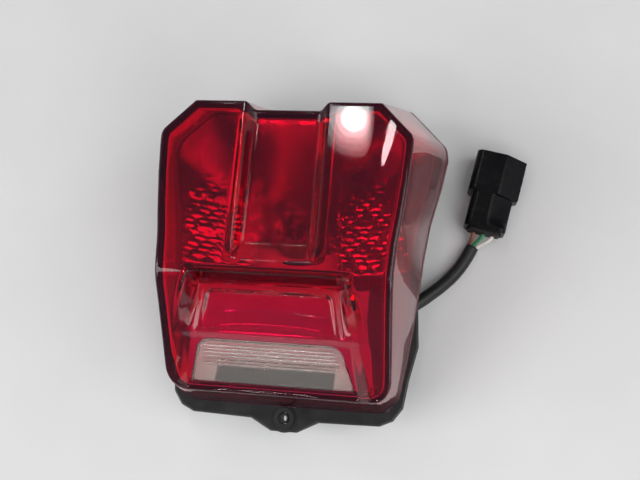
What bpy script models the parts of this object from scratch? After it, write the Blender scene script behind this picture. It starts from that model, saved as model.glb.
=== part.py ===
"""Motorcycle tail and brake lamp: red lens, black base, twist-in bulb and short cable with plug.

Frame: X right, Y toward the top end of the lamp, Z out of the base toward the lens; the back is z = 0.
All driving sizes are millimetres in the block below and are turned to metres once, in mm().
"""
import math

import bmesh
import bpy
import numpy as np
from mathutils import Matrix, Vector

# Fits
GAP = 0.3            # air left between neighbouring pieces
WALL = 2.5           # lens wall

# Outlines of the right half, top centre to bottom centre: lens rim and lens front
RIM_Z = 18.0
TIP_Z = 74.0
RIM = [(0.0, 68.4), (44.0, 68.4), (59.4, 52.2), (60.2, 46.5), (57.9, 34.0), (54.0, 18.0), (52.0, 4.0),
       (50.8, -9.0), (49.2, -24.0), (47.2, -38.0), (44.8, -53.0), (39.4, -58.6), (0.0, -58.6)]
FRONT = [(0.0, 48.4, 70.0), (34.4, 48.4, 70.0), (46.2, 36.2, 69.9), (46.0, 31.0, 69.8),
         (45.2, 20.0, 69.7), (43.8, 7.0, 69.6), (42.5, -3.0, 69.5), (41.8, -13.0, 69.3),
         (41.8, -26.0, 61.5), (42.0, -38.0, 52.0), (42.2, -50.2, 42.2), (38.4, -55.2, 38.2),
         (0.0, -55.2, 38.2)]
FRONT_PROFILE = [(90.0, 70.3), (-16.0, 69.2), (-76.0, 21.8)]
LENS_EDGE = 1.6
RIM_LAND = 4.6
LAND_TOP = 20.0

# Recessed centre panel: floor half width, side slope, (y, depth under the front)
PANEL_HALF = 12.0
PANEL_FLARE = 0.75
PANEL_RUN = [(84.0, 2.0), (46.4, 2.0), (42.0, 4.0), (-4.6, 4.0), (-12.4, -1.2)]
PANEL_NOTCH = 2.6    # how far the panel also sinks into the top wall at the front

# Lower pocket: (y, half width on its floor, floor height, half width at the front), then the plate window
POCKET_RUN = [(-15.6, 26.6, 70.2, 27.4), (-19.2, 25.2, 60.0, 28.8), (-27.0, 25.8, 57.2, 31.8),
              (-28.8, 26.0, 54.8, 32.3), (-37.2, 27.4, 51.4, 34.6), (-38.4, 27.6, 48.6, 34.8),
              (-62.0, 32.0, 27.6, 38.2)]
WINDOW_TOP = (-39.0, 26.4)
WINDOW_LOW = (-50.6, 28.8)
WINDOW_THICK = 2.5
WINDOW_LIP = 1.4
RIB_COUNT = 6
RIB_SIZE = 0.45

# Base
FLANGE_LOW = [(51.3, -31.7), (48.2, -45.0), (46.4, -56.0), (42.8, -61.0), (37.6, -63.4),
              (13.6, -64.0), (9.4, -66.2), (5.2, -68.4), (0.0, -68.4)]
FLANGE_INSET = 0.8
FLANGE_THICK = 4.0
FLANGE_EDGE = 0.8
TRAY_INSET = 6.0
TRAY_WALL = 2.6
FLOOR = 3.0
LUG_AT = (0.0, -63.2)
LUG_HOLE = 3.6
LUG_THICK = 6.5
GROOVE_INSET = 2.8
GROOVE_W = 1.8
GROOVE_D = 1.7

# Lens screws, reflector screws, mounting inserts
LENS_SCREWS = [(46.6, 55.2), (-46.6, 55.2), (37.4, -49.2), (-37.4, -49.2)]
POST_R = 3.5
POST_TOP = 24.4
SCREW_R = 1.5
HEAD_R = 2.8
HEAD_H = 2.2
REFLECTOR_SCREWS = [(31.0, 10.0), (-31.0, 10.0)]
LEG_R = 2.8
INSERTS = [(22.0, -30.0), (-22.0, -30.0)]
INSERT_R = 2.7
INSERT_BORE = 1.8
INSERT_H = 8.7

# Bulb and holder on one axis
BULB_AT = (0.0, 10.0)
CAP_R = 7.5
CAP_FIT = 0.4          # room round the bulb cap in its holder
SHELL_T = 0.8
SHELL_R = CAP_R + CAP_FIT + SHELL_T
SHELL_TOP = 27.0
PIN_Z = 23.0
PIN_R = 1.0
PUSH = 2.0
TWIST = 25.0
PLATE_Z = 12.0
PLATE_H = 2.0
PAD_H = 0.6
BEAD_H = 0.8
CONTACT_X = 3.4
CAP_H = 14.0
GLASS_R = 9.0
GLASS_T = 0.8
GLASS_UP = 9.6         # middle of the glass ball over the cap
STEM_R, STEM_NECK = 4.6, 2.2
STEM_FOOT, STEM_TAPER, STEM_REACH = 2.0, 6.0, 4.0
SPRING_R = 5.2
SPRING_WIRE = 0.8
SPRING_CURLS = 3
SPRING_POINTS = 10

# Reflector
DISH_TOP = 33.0
DISH_LOW = 19.6
DISH_T = 1.2
DISH_HOLE = 10.6
DISH_END = -50.6    # lowest edge, behind the plate window
DISH_STEPS = 4
DISH_POINTS = 48

# Cable and plug
SLEEVE_R = 2.75
SLEEVE_PATH = [(38.6, -13.5, 7.2), (42.2, -13.5, 7.2), (47.8, -13.5, 7.2), (51.6, -11.2, 6.8),
               (55.6, -7.8, 5.7), (59.6, -4.2, 4.5), (63.4, -0.2, 3.6), (66.8, 4.2, 3.1), (69.6, 8.9, 3.0),
               (71.9, 13.6, 3.0)]
GLAND_R = 5.2
WIRE_R = 0.8
WIRE_SPREAD = 1.75
PLUG_AT = (79.6, 36.0, 6.4)
PLUG_TURN = -12.0
HOOD_W, HOOD_H, HOOD_L = 21.4, 12.4, 17.3
BODY_W, BODY_H, BODY_L = 17.4, 11.0, 16.5
PLUG_ROUND = 2.6
PLUG_KEY = (8.6, 5.0)    # corner cut away along the plug, so that it goes in one way only
HOOD_WALL = 1.5
HOOD_DEEP = 13.5
BLADE_PITCH = 5.2
BLADE = (2.3, 7.5, 0.8)
SEAL_W, SEAL_H, SEAL_L = 13.4, 6.6, 3.0


def mm(value: float) -> float:
    """Turn millimetres to metres."""
    return value * 0.001


for old in list(bpy.data.objects):
    bpy.data.objects.remove(old, do_unlink=True)

PARTS = bpy.data.collections.new("tail_lamp")
CUTTERS = bpy.data.collections.new("cutters")
bpy.context.scene.collection.children.link(PARTS)
bpy.context.scene.collection.children.link(CUTTERS)


# Small helpers
def finish(name, colour, rough, metal=0.0, alpha=1.0):
    """Make one Principled material."""
    mat = bpy.data.materials.new(name)
    mat.use_nodes = True
    node = mat.node_tree.nodes["Principled BSDF"]
    node.inputs["Base Color"].default_value = (*colour, 1.0)
    node.inputs["Roughness"].default_value = rough
    node.inputs["Metallic"].default_value = metal
    node.inputs["Alpha"].default_value = alpha
    mat.diffuse_color = (*colour, 1.0)
    return mat


def place(mesh, name, part=True):
    """Wrap a mesh in an object and put it with the parts or with the cutters."""
    obj = bpy.data.objects.new(name, mesh)
    (PARTS if part else CUTTERS).objects.link(obj)
    if not part:
        obj.hide_render = True
        obj.display_type = "WIRE"
    return obj


def loft(name, loops, part=False):
    """Skin a list of equal-length closed loops and cap both ends."""
    count = len(loops[0])
    verts = [tuple(mm(c) for c in p) for loop in loops for p in loop]
    faces = []
    for k in range(len(loops) - 1):
        a, b = k * count, (k + 1) * count
        faces += [(a + i, a + (i + 1) % count, b + (i + 1) % count, b + i) for i in range(count)]
    faces.append(tuple(reversed(range(count))))
    last = (len(loops) - 1) * count
    faces.append(tuple(range(last, last + count)))
    mesh = bpy.data.meshes.new(name)
    mesh.from_pydata(verts, [], faces)
    bm = bmesh.new()
    bm.from_mesh(mesh)
    bmesh.ops.recalc_face_normals(bm, faces=bm.faces)
    bmesh.ops.triangulate(bm, faces=bm.faces, quad_method="SHORT_EDGE")
    bm.to_mesh(mesh)
    bm.free()
    return place(mesh, name, part)


def solid_of(curve):
    """Turn a curve into one closed mesh."""
    carrier = bpy.data.objects.new(curve.name, curve)
    CUTTERS.objects.link(carrier)
    mesh = bpy.data.meshes.new_from_object(carrier.evaluated_get(bpy.context.evaluated_depsgraph_get()))
    bpy.data.objects.remove(carrier, do_unlink=True)
    bm = bmesh.new()
    bm.from_mesh(mesh)
    bmesh.ops.remove_doubles(bm, verts=bm.verts, dist=1e-7)
    bmesh.ops.recalc_face_normals(bm, faces=bm.faces)
    bm.to_mesh(mesh)
    bm.free()
    return mesh


def bends(outline):
    """Leave out the points of an outline that lie on a straight run."""
    pts = np.array(outline, float)
    before, after = pts - np.roll(pts, 1, axis=0), np.roll(pts, -1, axis=0) - pts
    turn = np.abs(before[:, 0] * after[:, 1] - before[:, 1] * after[:, 0])
    size = np.linalg.norm(before, axis=1) * np.linalg.norm(after, axis=1)
    return [tuple(p) for p in pts[turn > 1e-6 * size]]


def slab(name, outline, z0, z1, part=False, turn=None, hole=None):
    """Straight prism of one flat outline with an optional hole, turned by an optional matrix last."""
    curve = bpy.data.curves.new(name + "_line", "CURVE")
    curve.dimensions = "2D"
    curve.fill_mode = "BOTH"
    curve.extrude = mm(0.5 * (z1 - z0))
    for ring in (outline,) if hole is None else (outline, hole):
        ring = bends(ring)
        line = curve.splines.new("POLY")
        line.points.add(len(ring) - 1)
        for spot, (x, y) in zip(line.points, ring):
            spot.co = (mm(x), mm(y), 0.0, 1.0)
        line.use_cyclic_u = True
    mesh = solid_of(curve)
    mesh.name = name
    mesh.transform(Matrix.Translation(Vector((0.0, 0.0, mm(0.5 * (z0 + z1))))))
    if turn is not None:
        mesh.transform(turn)
    return place(mesh, name, part)


def lathe(name, profile, at, steps=32, part=True, axis="Z"):
    """Turn a closed (radius, height) profile once round an axis through a point."""
    area = sum(a[0] * b[1] - b[0] * a[1] for a, b in zip(profile, profile[1:] + profile[:1]))
    loop = profile if area < 0.0 else profile[::-1]
    mesh = bpy.data.meshes.new(name)
    mesh.from_pydata([(mm(r), 0.0, mm(h)) for r, h in loop],
                     [(k, (k + 1) % len(loop)) for k in range(len(loop))
                      if loop[k][0] > 0.0 or loop[(k + 1) % len(loop)][0] > 0.0], [])
    obj = place(mesh, name, part)
    obj.location = [mm(c) for c in at]
    if axis == "X":
        obj.rotation_euler = (0.0, math.radians(90.0), 0.0)
    turn = obj.modifiers.new("turn", "SCREW")
    turn.axis = "Z"
    turn.angle = 2.0 * math.pi
    turn.steps = turn.render_steps = steps
    turn.use_merge_vertices = True
    turn.merge_threshold = 1e-6
    return obj


def rod(name, radius, z0, z1, at, steps=24, part=False):
    """Upright cylinder."""
    mesh = bpy.data.meshes.new(name)
    bm = bmesh.new()
    bmesh.ops.create_cone(bm, cap_ends=True, segments=steps, radius1=mm(radius), radius2=mm(radius),
                          depth=mm(z1 - z0))
    bm.to_mesh(mesh)
    bm.free()
    obj = place(mesh, name, part)
    obj.location = (mm(at[0]), mm(at[1]), mm(0.5 * (z0 + z1)))
    return obj


def box(name, size, at, turn=None, part=False):
    """Box of full size at a centre, turned by an optional matrix first."""
    mesh = bpy.data.meshes.new(name)
    bm = bmesh.new()
    bmesh.ops.create_cube(bm, size=1.0)
    bm.to_mesh(mesh)
    bm.free()
    mesh.transform(Matrix.Diagonal(Vector([mm(s) for s in size] + [1.0])))
    mesh.transform(Matrix.Translation(Vector([mm(c) for c in at])))
    if turn is not None:
        mesh.transform(turn)
    return place(mesh, name, part)


def tube(name, points, radius, sides=2, cyclic=False):
    """Round tube along a line of points, turned to one mesh."""
    curve = bpy.data.curves.new(name + "_line", "CURVE")
    curve.dimensions = "3D"
    curve.bevel_depth = mm(radius)
    curve.bevel_resolution = sides
    curve.use_fill_caps = not cyclic
    line = curve.splines.new("POLY")
    line.points.add(len(points) - 1)
    for spot, p in zip(line.points, points):
        spot.co = (*[mm(c) for c in p], 1.0)
    line.use_cyclic_u = cyclic
    mesh = solid_of(curve)
    mesh.name = name
    return place(mesh, name)


def combine(obj, other, how):
    """Add an exact Boolean to an object."""
    step = obj.modifiers.new(f"{how.lower()}_{other.name}", "BOOLEAN")
    step.operation = how
    step.solver = "EXACT"
    step.object = other
    return obj


def cut(obj, *others):
    """Take cutters away from an object."""
    for other in others:
        combine(obj, other, "DIFFERENCE")
    return obj


def add(obj, *others):
    """Join bodies to an object."""
    for other in others:
        combine(obj, other, "UNION")
    return obj


def soften(obj, width, angle=35.0, segments=2):
    """Round the sharp edges of an object."""
    step = obj.modifiers.new("soft_edges", "BEVEL")
    step.width = mm(width)
    step.segments = segments
    step.limit_method = "ANGLE"
    step.angle_limit = math.radians(angle)
    step.use_clamp_overlap = True
    obj.modifiers.new("flat_faces", "TRIANGULATE").quad_method = "SHORTEST_DIAGONAL"
    return obj


def dress(obj, mat):
    """Give an object its material."""
    obj.data.materials.clear()
    obj.data.materials.append(mat)
    return obj


def whole(half):
    """Mirror a right-half outline across X = 0 into one closed loop."""
    return [p for p in half] + [(-p[0], *p[1:]) for p in reversed(half) if p[0] > 1e-6]


def inset(outline, d):
    """Move every side of a closed outline inward by d and cut the sides again."""
    pts = np.array(outline, float)
    nxt = np.roll(pts, -1, axis=0)
    run = nxt - pts
    run /= np.linalg.norm(run, axis=1)[:, None]
    area = np.sum(pts[:, 0] * nxt[:, 1] - nxt[:, 0] * pts[:, 1])
    side = np.stack([-run[:, 1], run[:, 0]], axis=1) * (1.0 if area > 0 else -1.0)
    out = []
    for i in range(len(pts)):
        n0, n1 = side[i - 1], side[i]
        out.append(tuple(pts[i] + d * (n0 + n1) / (1.0 + float(n0 @ n1))))
    return out


def tapered(z, d=0.0):
    """Lens outline at a height: the straight line from each rim point to its front point, moved in by d."""
    half = []
    for (rx, ry), (fx, fy, fz) in zip(RIM, FRONT):
        t = (z - RIM_Z) / (fz - RIM_Z)
        half.append((rx + (fx - rx) * t, ry + (fy - ry) * t))
    return inset(whole(half), d)


def at_height(outline, z):
    """Lift a flat outline to a height."""
    return [(x, y, z) for x, y in outline]


def front_z(y):
    """Height of the lens front at a station along Y."""
    (y0, z0), (y1, z1), (y2, z2) = FRONT_PROFILE
    if y >= y1:
        return z1 + (z0 - z1) * (y - y1) / (y0 - y1)
    return z1 + (z2 - z1) * (y1 - y) / (y1 - y2)


def window_z(y):
    """Height of the plane that the plate window lies in, at a station along Y."""
    (y0, _, z0, _), (y1, _, z1, _) = POCKET_RUN[-2:]
    return z0 + (z1 - z0) * (y0 - y) / (y0 - y1)


def round_rect(w, h, r, n=4):
    """Rounded rectangle, centred."""
    out = []
    for cx, cy, a0 in ((1, 1, 0), (-1, 1, 90), (-1, -1, 180), (1, -1, 270)):
        for k in range(n + 1):
            a = math.radians(a0 + 90.0 * k / n)
            out.append((cx * (0.5 * w - r) + r * math.cos(a), cy * (0.5 * h - r) + r * math.sin(a)))
    return out


# Finishes
RED = finish("lens_red", (0.55, 0.01, 0.02), 0.08)
CLEAR = finish("window_clear", (0.85, 0.86, 0.86), 0.08)
BLACK = finish("base_black", (0.03, 0.03, 0.032), 0.45)
RUBBER = finish("rubber_black", (0.02, 0.02, 0.02), 0.7)
CHROME = finish("reflector_silver", (0.86, 0.86, 0.87), 0.12, 1.0)
STEEL = finish("steel_zinc", (0.7, 0.7, 0.71), 0.3, 1.0)
BRASS = finish("brass", (0.72, 0.55, 0.25), 0.3, 1.0)
FIBRE = finish("fibre_brown", (0.25, 0.14, 0.07), 0.6)
GLASS = finish("bulb_glass", (0.9, 0.92, 0.92), 0.03)
TUNGSTEN = finish("tungsten", (0.35, 0.35, 0.36), 0.35, 1.0)
SOLDER = finish("solder", (0.6, 0.6, 0.62), 0.4, 1.0)
SLEEVE = finish("sleeve_black", (0.025, 0.025, 0.026), 0.5)
PLUG = finish("plug_black", (0.03, 0.03, 0.032), 0.4)
GREEN = finish("wire_green", (0.05, 0.35, 0.12), 0.45)
BROWN = finish("wire_brown", (0.25, 0.1, 0.05), 0.45)
WHITE = finish("wire_white", (0.8, 0.8, 0.78), 0.45)


# Turns that lay a flat outline across another plane: (y, z) drawn outlines run along X, (x, z) ones along Y
ALONG_X = Matrix(((0.0, 0.0, 1.0, 0.0), (1.0, 0.0, 0.0, 0.0), (0.0, 1.0, 0.0, 0.0), (0.0, 0.0, 0.0, 1.0)))
ALONG_Y = Matrix(((1.0, 0.0, 0.0, 0.0), (0.0, 0.0, -1.0, 0.0), (0.0, 1.0, 0.0, 0.0), (0.0, 0.0, 0.0, 1.0)))


# Lens shell: tapered body under a bent front, hollowed by the same body moved in by one wall
def lens_body(name, d, part):
    """Tapered lens body moved inward by d on every side, with panel and pocket taken away."""
    low = RIM_Z - 8.0
    body = loft(name, [at_height(tapered(low, d), low), at_height(tapered(TIP_Z + 8.0, d), TIP_Z + 8.0)], part)
    wide = 70.0
    profile = [(90.0, low - 4.0)] + [(y, z - d) for y, z in FRONT_PROFILE] + [(-70.0, low - 4.0)]
    prism = slab(name + "_profile", profile, -wide, wide, turn=ALONG_X)
    combine(body, prism, "INTERSECT")
    if d == 0.0:
        soften(body, LENS_EDGE, 28.0, 2)
    loops = []
    for y, depth in PANEL_RUN:
        zf = front_z(y) - depth - d
        half = PANEL_HALF + d * 1.2
        up = 14.0
        loops.append([(-half, y, zf), (half, y, zf), (half + PANEL_FLARE * up, y, zf + up),
                      (-half - PANEL_FLARE * up, y, zf + up)])
    panel = loft(name + "_panel", loops)
    (top_y, rim_y), over = (FRONT[0][1], RIM[0][1]), 6.0
    slope = (rim_y - top_y) / (FRONT[0][2] - RIM_Z)
    loops = []
    for z, sunk in ((FRONT[0][2] + over, PANEL_NOTCH * 1.1), (RIM_Z + over, 0.1 * PANEL_NOTCH)):
        y = top_y - slope * (z - FRONT[0][2]) - sunk - d
        half = PANEL_HALF + d
        loops.append([(-half, y, z), (half, y, z), (half + PANEL_FLARE * 40.0, y + 40.0, z),
                      (-half - PANEL_FLARE * 40.0, y + 40.0, z)])
    notch = loft(name + "_notch", loops)
    loops = []
    for y, half, zf, wide in POCKET_RUN:
        up = 8.0
        shift = d if y > -20.0 else 0.0
        rise = max(front_z(y) - zf, 2.0)
        lean = (wide - half) / rise
        h, z = half + d, zf - d
        top = rise + d + up
        loops.append([(-h, y + shift, z), (h, y + shift, z),
                      (h + lean * top, y + shift, z + top), (-h - lean * top, y + shift, z + top)])
    pocket = loft(name + "_pocket", loops)
    cut(body, panel, notch, pocket)
    return body


lens = lens_body("lens_shell", 0.0, True)
hollow = lens_body("lens_hollow", WALL, False)
below = box("lens_below", (200.0, 200.0, 40.0), (0.0, 0.0, LAND_TOP - 20.0))
cut(hollow, below)
land = loft("lens_land", [at_height(tapered(RIM_Z - 6.0, RIM_LAND), RIM_Z - 6.0),
                          at_height(tapered(LAND_TOP + 0.2, RIM_LAND), LAND_TOP + 0.2)])
foot = box("lens_foot", (200.0, 200.0, 40.0), (0.0, 0.0, RIM_Z - 20.0))
for i, spot in enumerate(LENS_SCREWS):
    post = rod(f"lens_post_{i}", POST_R, RIM_Z - 9.0, POST_TOP, spot)
    cut(hollow, post)
    cut(land, post)
cut(lens, foot, hollow, land)
for i, spot in enumerate(LENS_SCREWS):
    cut(lens, rod(f"lens_pilot_{i}", SCREW_R + GAP, RIM_Z - 2.0, POST_TOP - 1.4, spot))


def window_loops(grow, top, thick):
    """Two cross-sections of the window slab, following the pocket floor."""
    loops = []
    slope = (WINDOW_LOW[1] - WINDOW_TOP[1]) / (WINDOW_TOP[0] - WINDOW_LOW[0])
    for y, sign in ((WINDOW_TOP[0] + grow, -1.0), (WINDOW_LOW[0] - grow, 1.0)):
        half = WINDOW_TOP[1] + slope * (WINDOW_TOP[0] - y) + grow
        z = window_z(y) - top
        loops.append([(-half, y, z - thick), (half, y, z - thick), (half, y, z), (-half, y, z)])
    return loops


cut(lens, loft("window_hole", window_loops(0.0, -6.0, 14.0)))
dress(lens, RED)

# Number plate window: slab in the hole, lip behind the lens wall, ribs across the upper part
window = loft("plate_window", window_loops(-GAP, 0.0, WINDOW_THICK + 0.6), True)
add(window, loft("window_lip", window_loops(WINDOW_LIP, WALL + GAP + 0.1, 1.2)))
for i in range(RIB_COUNT):
    y = WINDOW_TOP[0] - 1.4 - 0.95 * i
    z = window_z(y)
    half = WINDOW_TOP[1] - 1.0
    add(window, loft(f"window_rib_{i}", [[(x, y + RIB_SIZE, z - 0.5), (x, y, z + RIB_SIZE * 0.8),
                                          (x, y - RIB_SIZE, z - 0.9)] for x in (-half, half)]))
dress(window, CLEAR)

# Base: flange that carries the lens, tray behind it, lug below
flange_half = [p for p in RIM if p[1] > -20.0]
flange_half = [q for q in inset(whole(RIM), FLANGE_INSET)[:len(flange_half)]] + FLANGE_LOW
flange_half[0] = (0.0, flange_half[0][1])
FLANGE_TOP = RIM_Z - GAP
FLANGE_LOW_Z = FLANGE_TOP - FLANGE_THICK
edge = whole(flange_half)
base = loft("base_housing", [at_height(inset(edge, d), z) for d, z in (
    (FLANGE_EDGE, FLANGE_LOW_Z), (0.3 * FLANGE_EDGE, FLANGE_LOW_Z + 0.3 * FLANGE_EDGE),
    (0.0, FLANGE_LOW_Z + FLANGE_EDGE), (0.0, FLANGE_TOP - FLANGE_EDGE),
    (0.3 * FLANGE_EDGE, FLANGE_TOP - 0.3 * FLANGE_EDGE), (FLANGE_EDGE, FLANGE_TOP))], True)
add(base, slab("base_tray", inset(whole(RIM), TRAY_INSET), 0.0, FLANGE_LOW_Z + 0.5))
add(base, rod("base_lug", LUG_HOLE + 2.0, FLANGE_TOP - LUG_THICK, FLANGE_TOP - 0.4, LUG_AT))
for i, spot in enumerate(LENS_SCREWS):
    add(base, rod(f"base_boss_{i}", HEAD_R + 2.6, 0.15, FLANGE_LOW_Z + 0.7, spot))
cut(base, slab("base_hollow", inset(whole(RIM), TRAY_INSET + TRAY_WALL), FLOOR, RIM_Z + 4.0))
for i, spot in enumerate(LENS_SCREWS):
    add(base, rod(f"base_pillar_{i}", HEAD_R + 2.5, 0.4, FLANGE_TOP - 0.2, spot))
for i, spot in enumerate(REFLECTOR_SCREWS):
    add(base, rod(f"base_stand_{i}", LEG_R + 1.6, 1.0, FLANGE_TOP, spot))
for i, spot in enumerate(INSERTS):
    add(base, rod(f"base_seat_{i}", INSERT_R + 2.4, 1.0, INSERT_H + 3.0, spot))
groove_out = inset(whole(RIM), GROOVE_INSET - 0.5 * GROOVE_W)
groove_in = inset(whole(RIM), GROOVE_INSET + 0.5 * GROOVE_W)
groove = slab("base_groove", groove_out, FLANGE_TOP - GROOVE_D, FLANGE_TOP + 3.0, hole=groove_in)
cut(base, groove)
SEAT_Z = FLANGE_TOP - 3.2
for i, spot in enumerate(LENS_SCREWS):
    cut(base, rod(f"base_bore_{i}", HEAD_R + 0.5, -2.0, SEAT_Z, spot),
        rod(f"base_hole_{i}", SCREW_R + GAP, SEAT_Z - 1.0, FLANGE_TOP + 3.0, spot, 16))
for i, spot in enumerate(REFLECTOR_SCREWS):
    cut(base, rod(f"stand_bore_{i}", HEAD_R + 0.5, -2.0, SEAT_Z, spot),
        rod(f"stand_hole_{i}", SCREW_R + GAP, SEAT_Z - 1.0, FLANGE_TOP + 3.0, spot, 16))
for i, spot in enumerate(INSERTS):
    cut(base, rod(f"insert_hole_{i}", INSERT_R + GAP, -2.0, INSERT_H + GAP + 0.3, spot))
cut(base, rod("lug_hole", LUG_HOLE, -2.0, RIM_Z + 6.0, LUG_AT))
GLAND_AT = SLEEVE_PATH[1]
TRAY_X = 45.0
gland_cut = lathe("gland_hole", [(0.0, -12.0), (SLEEVE_R + 1.6, -12.0), (SLEEVE_R + 1.6, 8.0), (0.0, 8.0)],
                  GLAND_AT, 20, False, "X")
cut(base, gland_cut)
dress(base, BLACK)

# Gasket in the groove
ring_out = inset(whole(RIM), GROOVE_INSET - 0.5 * GROOVE_W + GAP)
ring_in = inset(whole(RIM), GROOVE_INSET + 0.5 * GROOVE_W - GAP)
gasket = slab("lens_gasket", ring_out, FLANGE_TOP - GROOVE_D + GAP, FLANGE_TOP, True, hole=ring_in)
dress(gasket, RUBBER)


def screw_body(name, seat, tip, spot):
    """Pan head screw driven upward from the back, head under its seat."""
    head = seat - GAP
    profile = [(0.0, head - HEAD_H), (HEAD_R - 0.7, head - HEAD_H), (HEAD_R, head - HEAD_H + 0.7), (HEAD_R, head),
               (SCREW_R, head), (SCREW_R, tip - 0.8), (SCREW_R - 0.8, tip), (0.0, tip)]
    obj = lathe(name, profile, (spot[0], spot[1], 0.0), 16)
    slot = box(name + "_slot_a", (3.2, 0.8, 2.2), (spot[0], spot[1], head - HEAD_H))
    cross = box(name + "_slot_b", (0.8, 3.2, 2.2), (spot[0], spot[1], head - HEAD_H))
    cut(obj, slot, cross)
    return dress(obj, STEEL)


CORNERS = ("top_right", "top_left", "low_right", "low_left")
for label, spot in zip(CORNERS, LENS_SCREWS):
    screw_body(f"lens_screw_{label}", SEAT_Z, POST_TOP - 2.0, spot)

# Reflector: stepped dish from the bulb hole out to the lens wall, on two legs
def dish_ring(t, z):
    """Loop between the hole (t = 0) and the lens wall (t = 1), sampled by angle round the bulb."""
    wall = np.array(tapered(DISH_TOP, WALL + 1.3))
    wall[:, 1] = np.maximum(wall[:, 1], DISH_END)
    nxt = np.roll(wall, -1, axis=0)
    c = np.array(BULB_AT)
    loop = []
    for k in range(DISH_POINTS):
        a = 2.0 * math.pi * (k + 0.5) / DISH_POINTS
        u = np.array((math.cos(a), math.sin(a)))
        best = 1e9
        for p, q in zip(wall, nxt):
            m = np.array([[u[0], p[0] - q[0]], [u[1], p[1] - q[1]]])
            if abs(np.linalg.det(m)) < 1e-9:
                continue
            r, s = np.linalg.solve(m, p - c)
            if r > 0.0 and -1e-9 <= s <= 1.0 + 1e-9:
                best = min(best, r)
        r = DISH_HOLE + (best - DISH_HOLE) * t
        loop.append((c[0] + r * u[0], c[1] + r * u[1], z))
    return loop


def dish_body():
    """Closed skin of the dish: stepped front down to the hole and a back one wall lower."""
    front = [dish_ring(0.0, DISH_LOW)]
    for k in range(1, DISH_STEPS + 1):
        t = k / DISH_STEPS
        z = DISH_LOW + (DISH_TOP - DISH_LOW) * t ** 1.6
        front.append(dish_ring(t, z))
    back = [[(x, y, z - DISH_T) for x, y, z in loop] for loop in front]
    loops = front + back[::-1]
    n = DISH_POINTS
    verts = [tuple(mm(c) for c in p) for loop in loops for p in loop]
    faces = []
    for k in range(len(loops)):
        a, b = k * n, ((k + 1) % len(loops)) * n
        faces += [(a + i, a + (i + 1) % n, b + (i + 1) % n, b + i) for i in range(n)]
    mesh = bpy.data.meshes.new("reflector")
    mesh.from_pydata(verts, [], faces)
    bm = bmesh.new()
    bm.from_mesh(mesh)
    bmesh.ops.recalc_face_normals(bm, faces=bm.faces)
    bm.to_mesh(mesh)
    bm.free()
    return place(mesh, "reflector")


dish = dish_body()
for i, spot in enumerate(REFLECTOR_SCREWS):
    add(dish, rod(f"dish_leg_{i}", LEG_R, RIM_Z, DISH_LOW + 3.6, spot))
for i, spot in enumerate(REFLECTOR_SCREWS):
    cut(dish, rod(f"dish_pilot_{i}", SCREW_R + GAP, RIM_Z - 2.0, DISH_LOW + 2.0, spot, 16))
dress(dish, CHROME)
for label, spot in zip(("right", "left"), REFLECTOR_SCREWS):
    screw_body(f"reflector_screw_{label}", SEAT_Z, DISH_LOW + 1.4, spot)

# Mounting inserts and the lug bush
for label, spot in zip(("right", "left"), INSERTS):
    ring = [(INSERT_BORE, GAP), (INSERT_R, GAP), (INSERT_R, INSERT_H), (INSERT_BORE, INSERT_H)]
    dress(lathe(f"mount_insert_{label}", ring, (spot[0], spot[1], 0.0), 24), BRASS)
lug_low = FLANGE_TOP - LUG_THICK
bush_r = LUG_HOLE - GAP
bush = [(bush_r - 1.0, lug_low), (bush_r, lug_low), (bush_r, FLANGE_TOP + GAP), (bush_r + 0.8, FLANGE_TOP + GAP),
        (bush_r + 0.8, FLANGE_TOP + 1.4), (bush_r - 1.0, FLANGE_TOP + 1.4)]
dress(lathe("lug_bush", bush, (*LUG_AT, 0.0), 24), RUBBER)
collar_r = bush_r - 1.0 - GAP
collar = [(collar_r - 0.7, lug_low), (collar_r, lug_low), (collar_r, FLANGE_TOP + 1.6),
          (collar_r - 0.7, FLANGE_TOP + 1.6)]
dress(lathe("lug_collar", collar, (*LUG_AT, 0.0), 24), STEEL)

# Bulb holder: shell with two bayonet slots, insulator, spring, contact plate and pads
bx, by = BULB_AT
SHELL_LOW = FLOOR + GAP
shell_in = SHELL_R - SHELL_T
shell = lathe("socket_shell", [(5.0, SHELL_LOW), (SHELL_R, SHELL_LOW), (SHELL_R, SHELL_TOP), (shell_in, SHELL_TOP),
                               (shell_in, SHELL_LOW + 1.0), (5.0, SHELL_LOW + 1.0)], (bx, by, 0.0), 48)
for side in (0.0, 180.0):
    turn = Matrix.Translation(Vector((mm(bx), mm(by), 0.0))) @ Matrix.Rotation(math.radians(side), 4, "Z")
    low = PIN_Z - PUSH - PIN_R - GAP
    loops = []
    for k in range(6):
        a = math.radians(-11.0 + (TWIST + 22.0) * k / 5)
        loops.append([(r * math.cos(a), r * math.sin(a), z) for r, z in
                      ((shell_in - 1.5, low), (SHELL_R + 1.5, low), (SHELL_R + 1.5, PIN_Z + PIN_R + GAP),
                       (shell_in - 1.5, PIN_Z + PIN_R + GAP))])
    run = loft(f"slot_run_{int(side)}", loops)
    run.matrix_world = turn
    a = math.radians(TWIST)
    entry = box(f"slot_entry_{int(side)}", (6.0, 2.0 * (PIN_R + 0.45), 12.0), (SHELL_R - 0.6, 0.0, low + 6.0),
                turn @ Matrix.Rotation(a, 4, "Z"))
    cut(shell, run, entry)
lead_way = math.degrees(math.atan2(GLAND_AT[1] - by, GLAND_AT[0] - bx))
way = Matrix.Translation(Vector((mm(bx), mm(by), 0.0))) @ Matrix.Rotation(math.radians(lead_way), 4, "Z")
cut(shell, box("lead_notch", (8.0, 9.0, 6.0), (SHELL_R, 0.0, SHELL_LOW + 3.6), way))
dress(shell, STEEL)
INSUL_LOW = SHELL_LOW + 1.0 + GAP
INSUL_H = 1.8
insulator = rod("socket_insulator", shell_in - GAP, INSUL_LOW, INSUL_LOW + INSUL_H, BULB_AT, 32, True)
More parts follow.
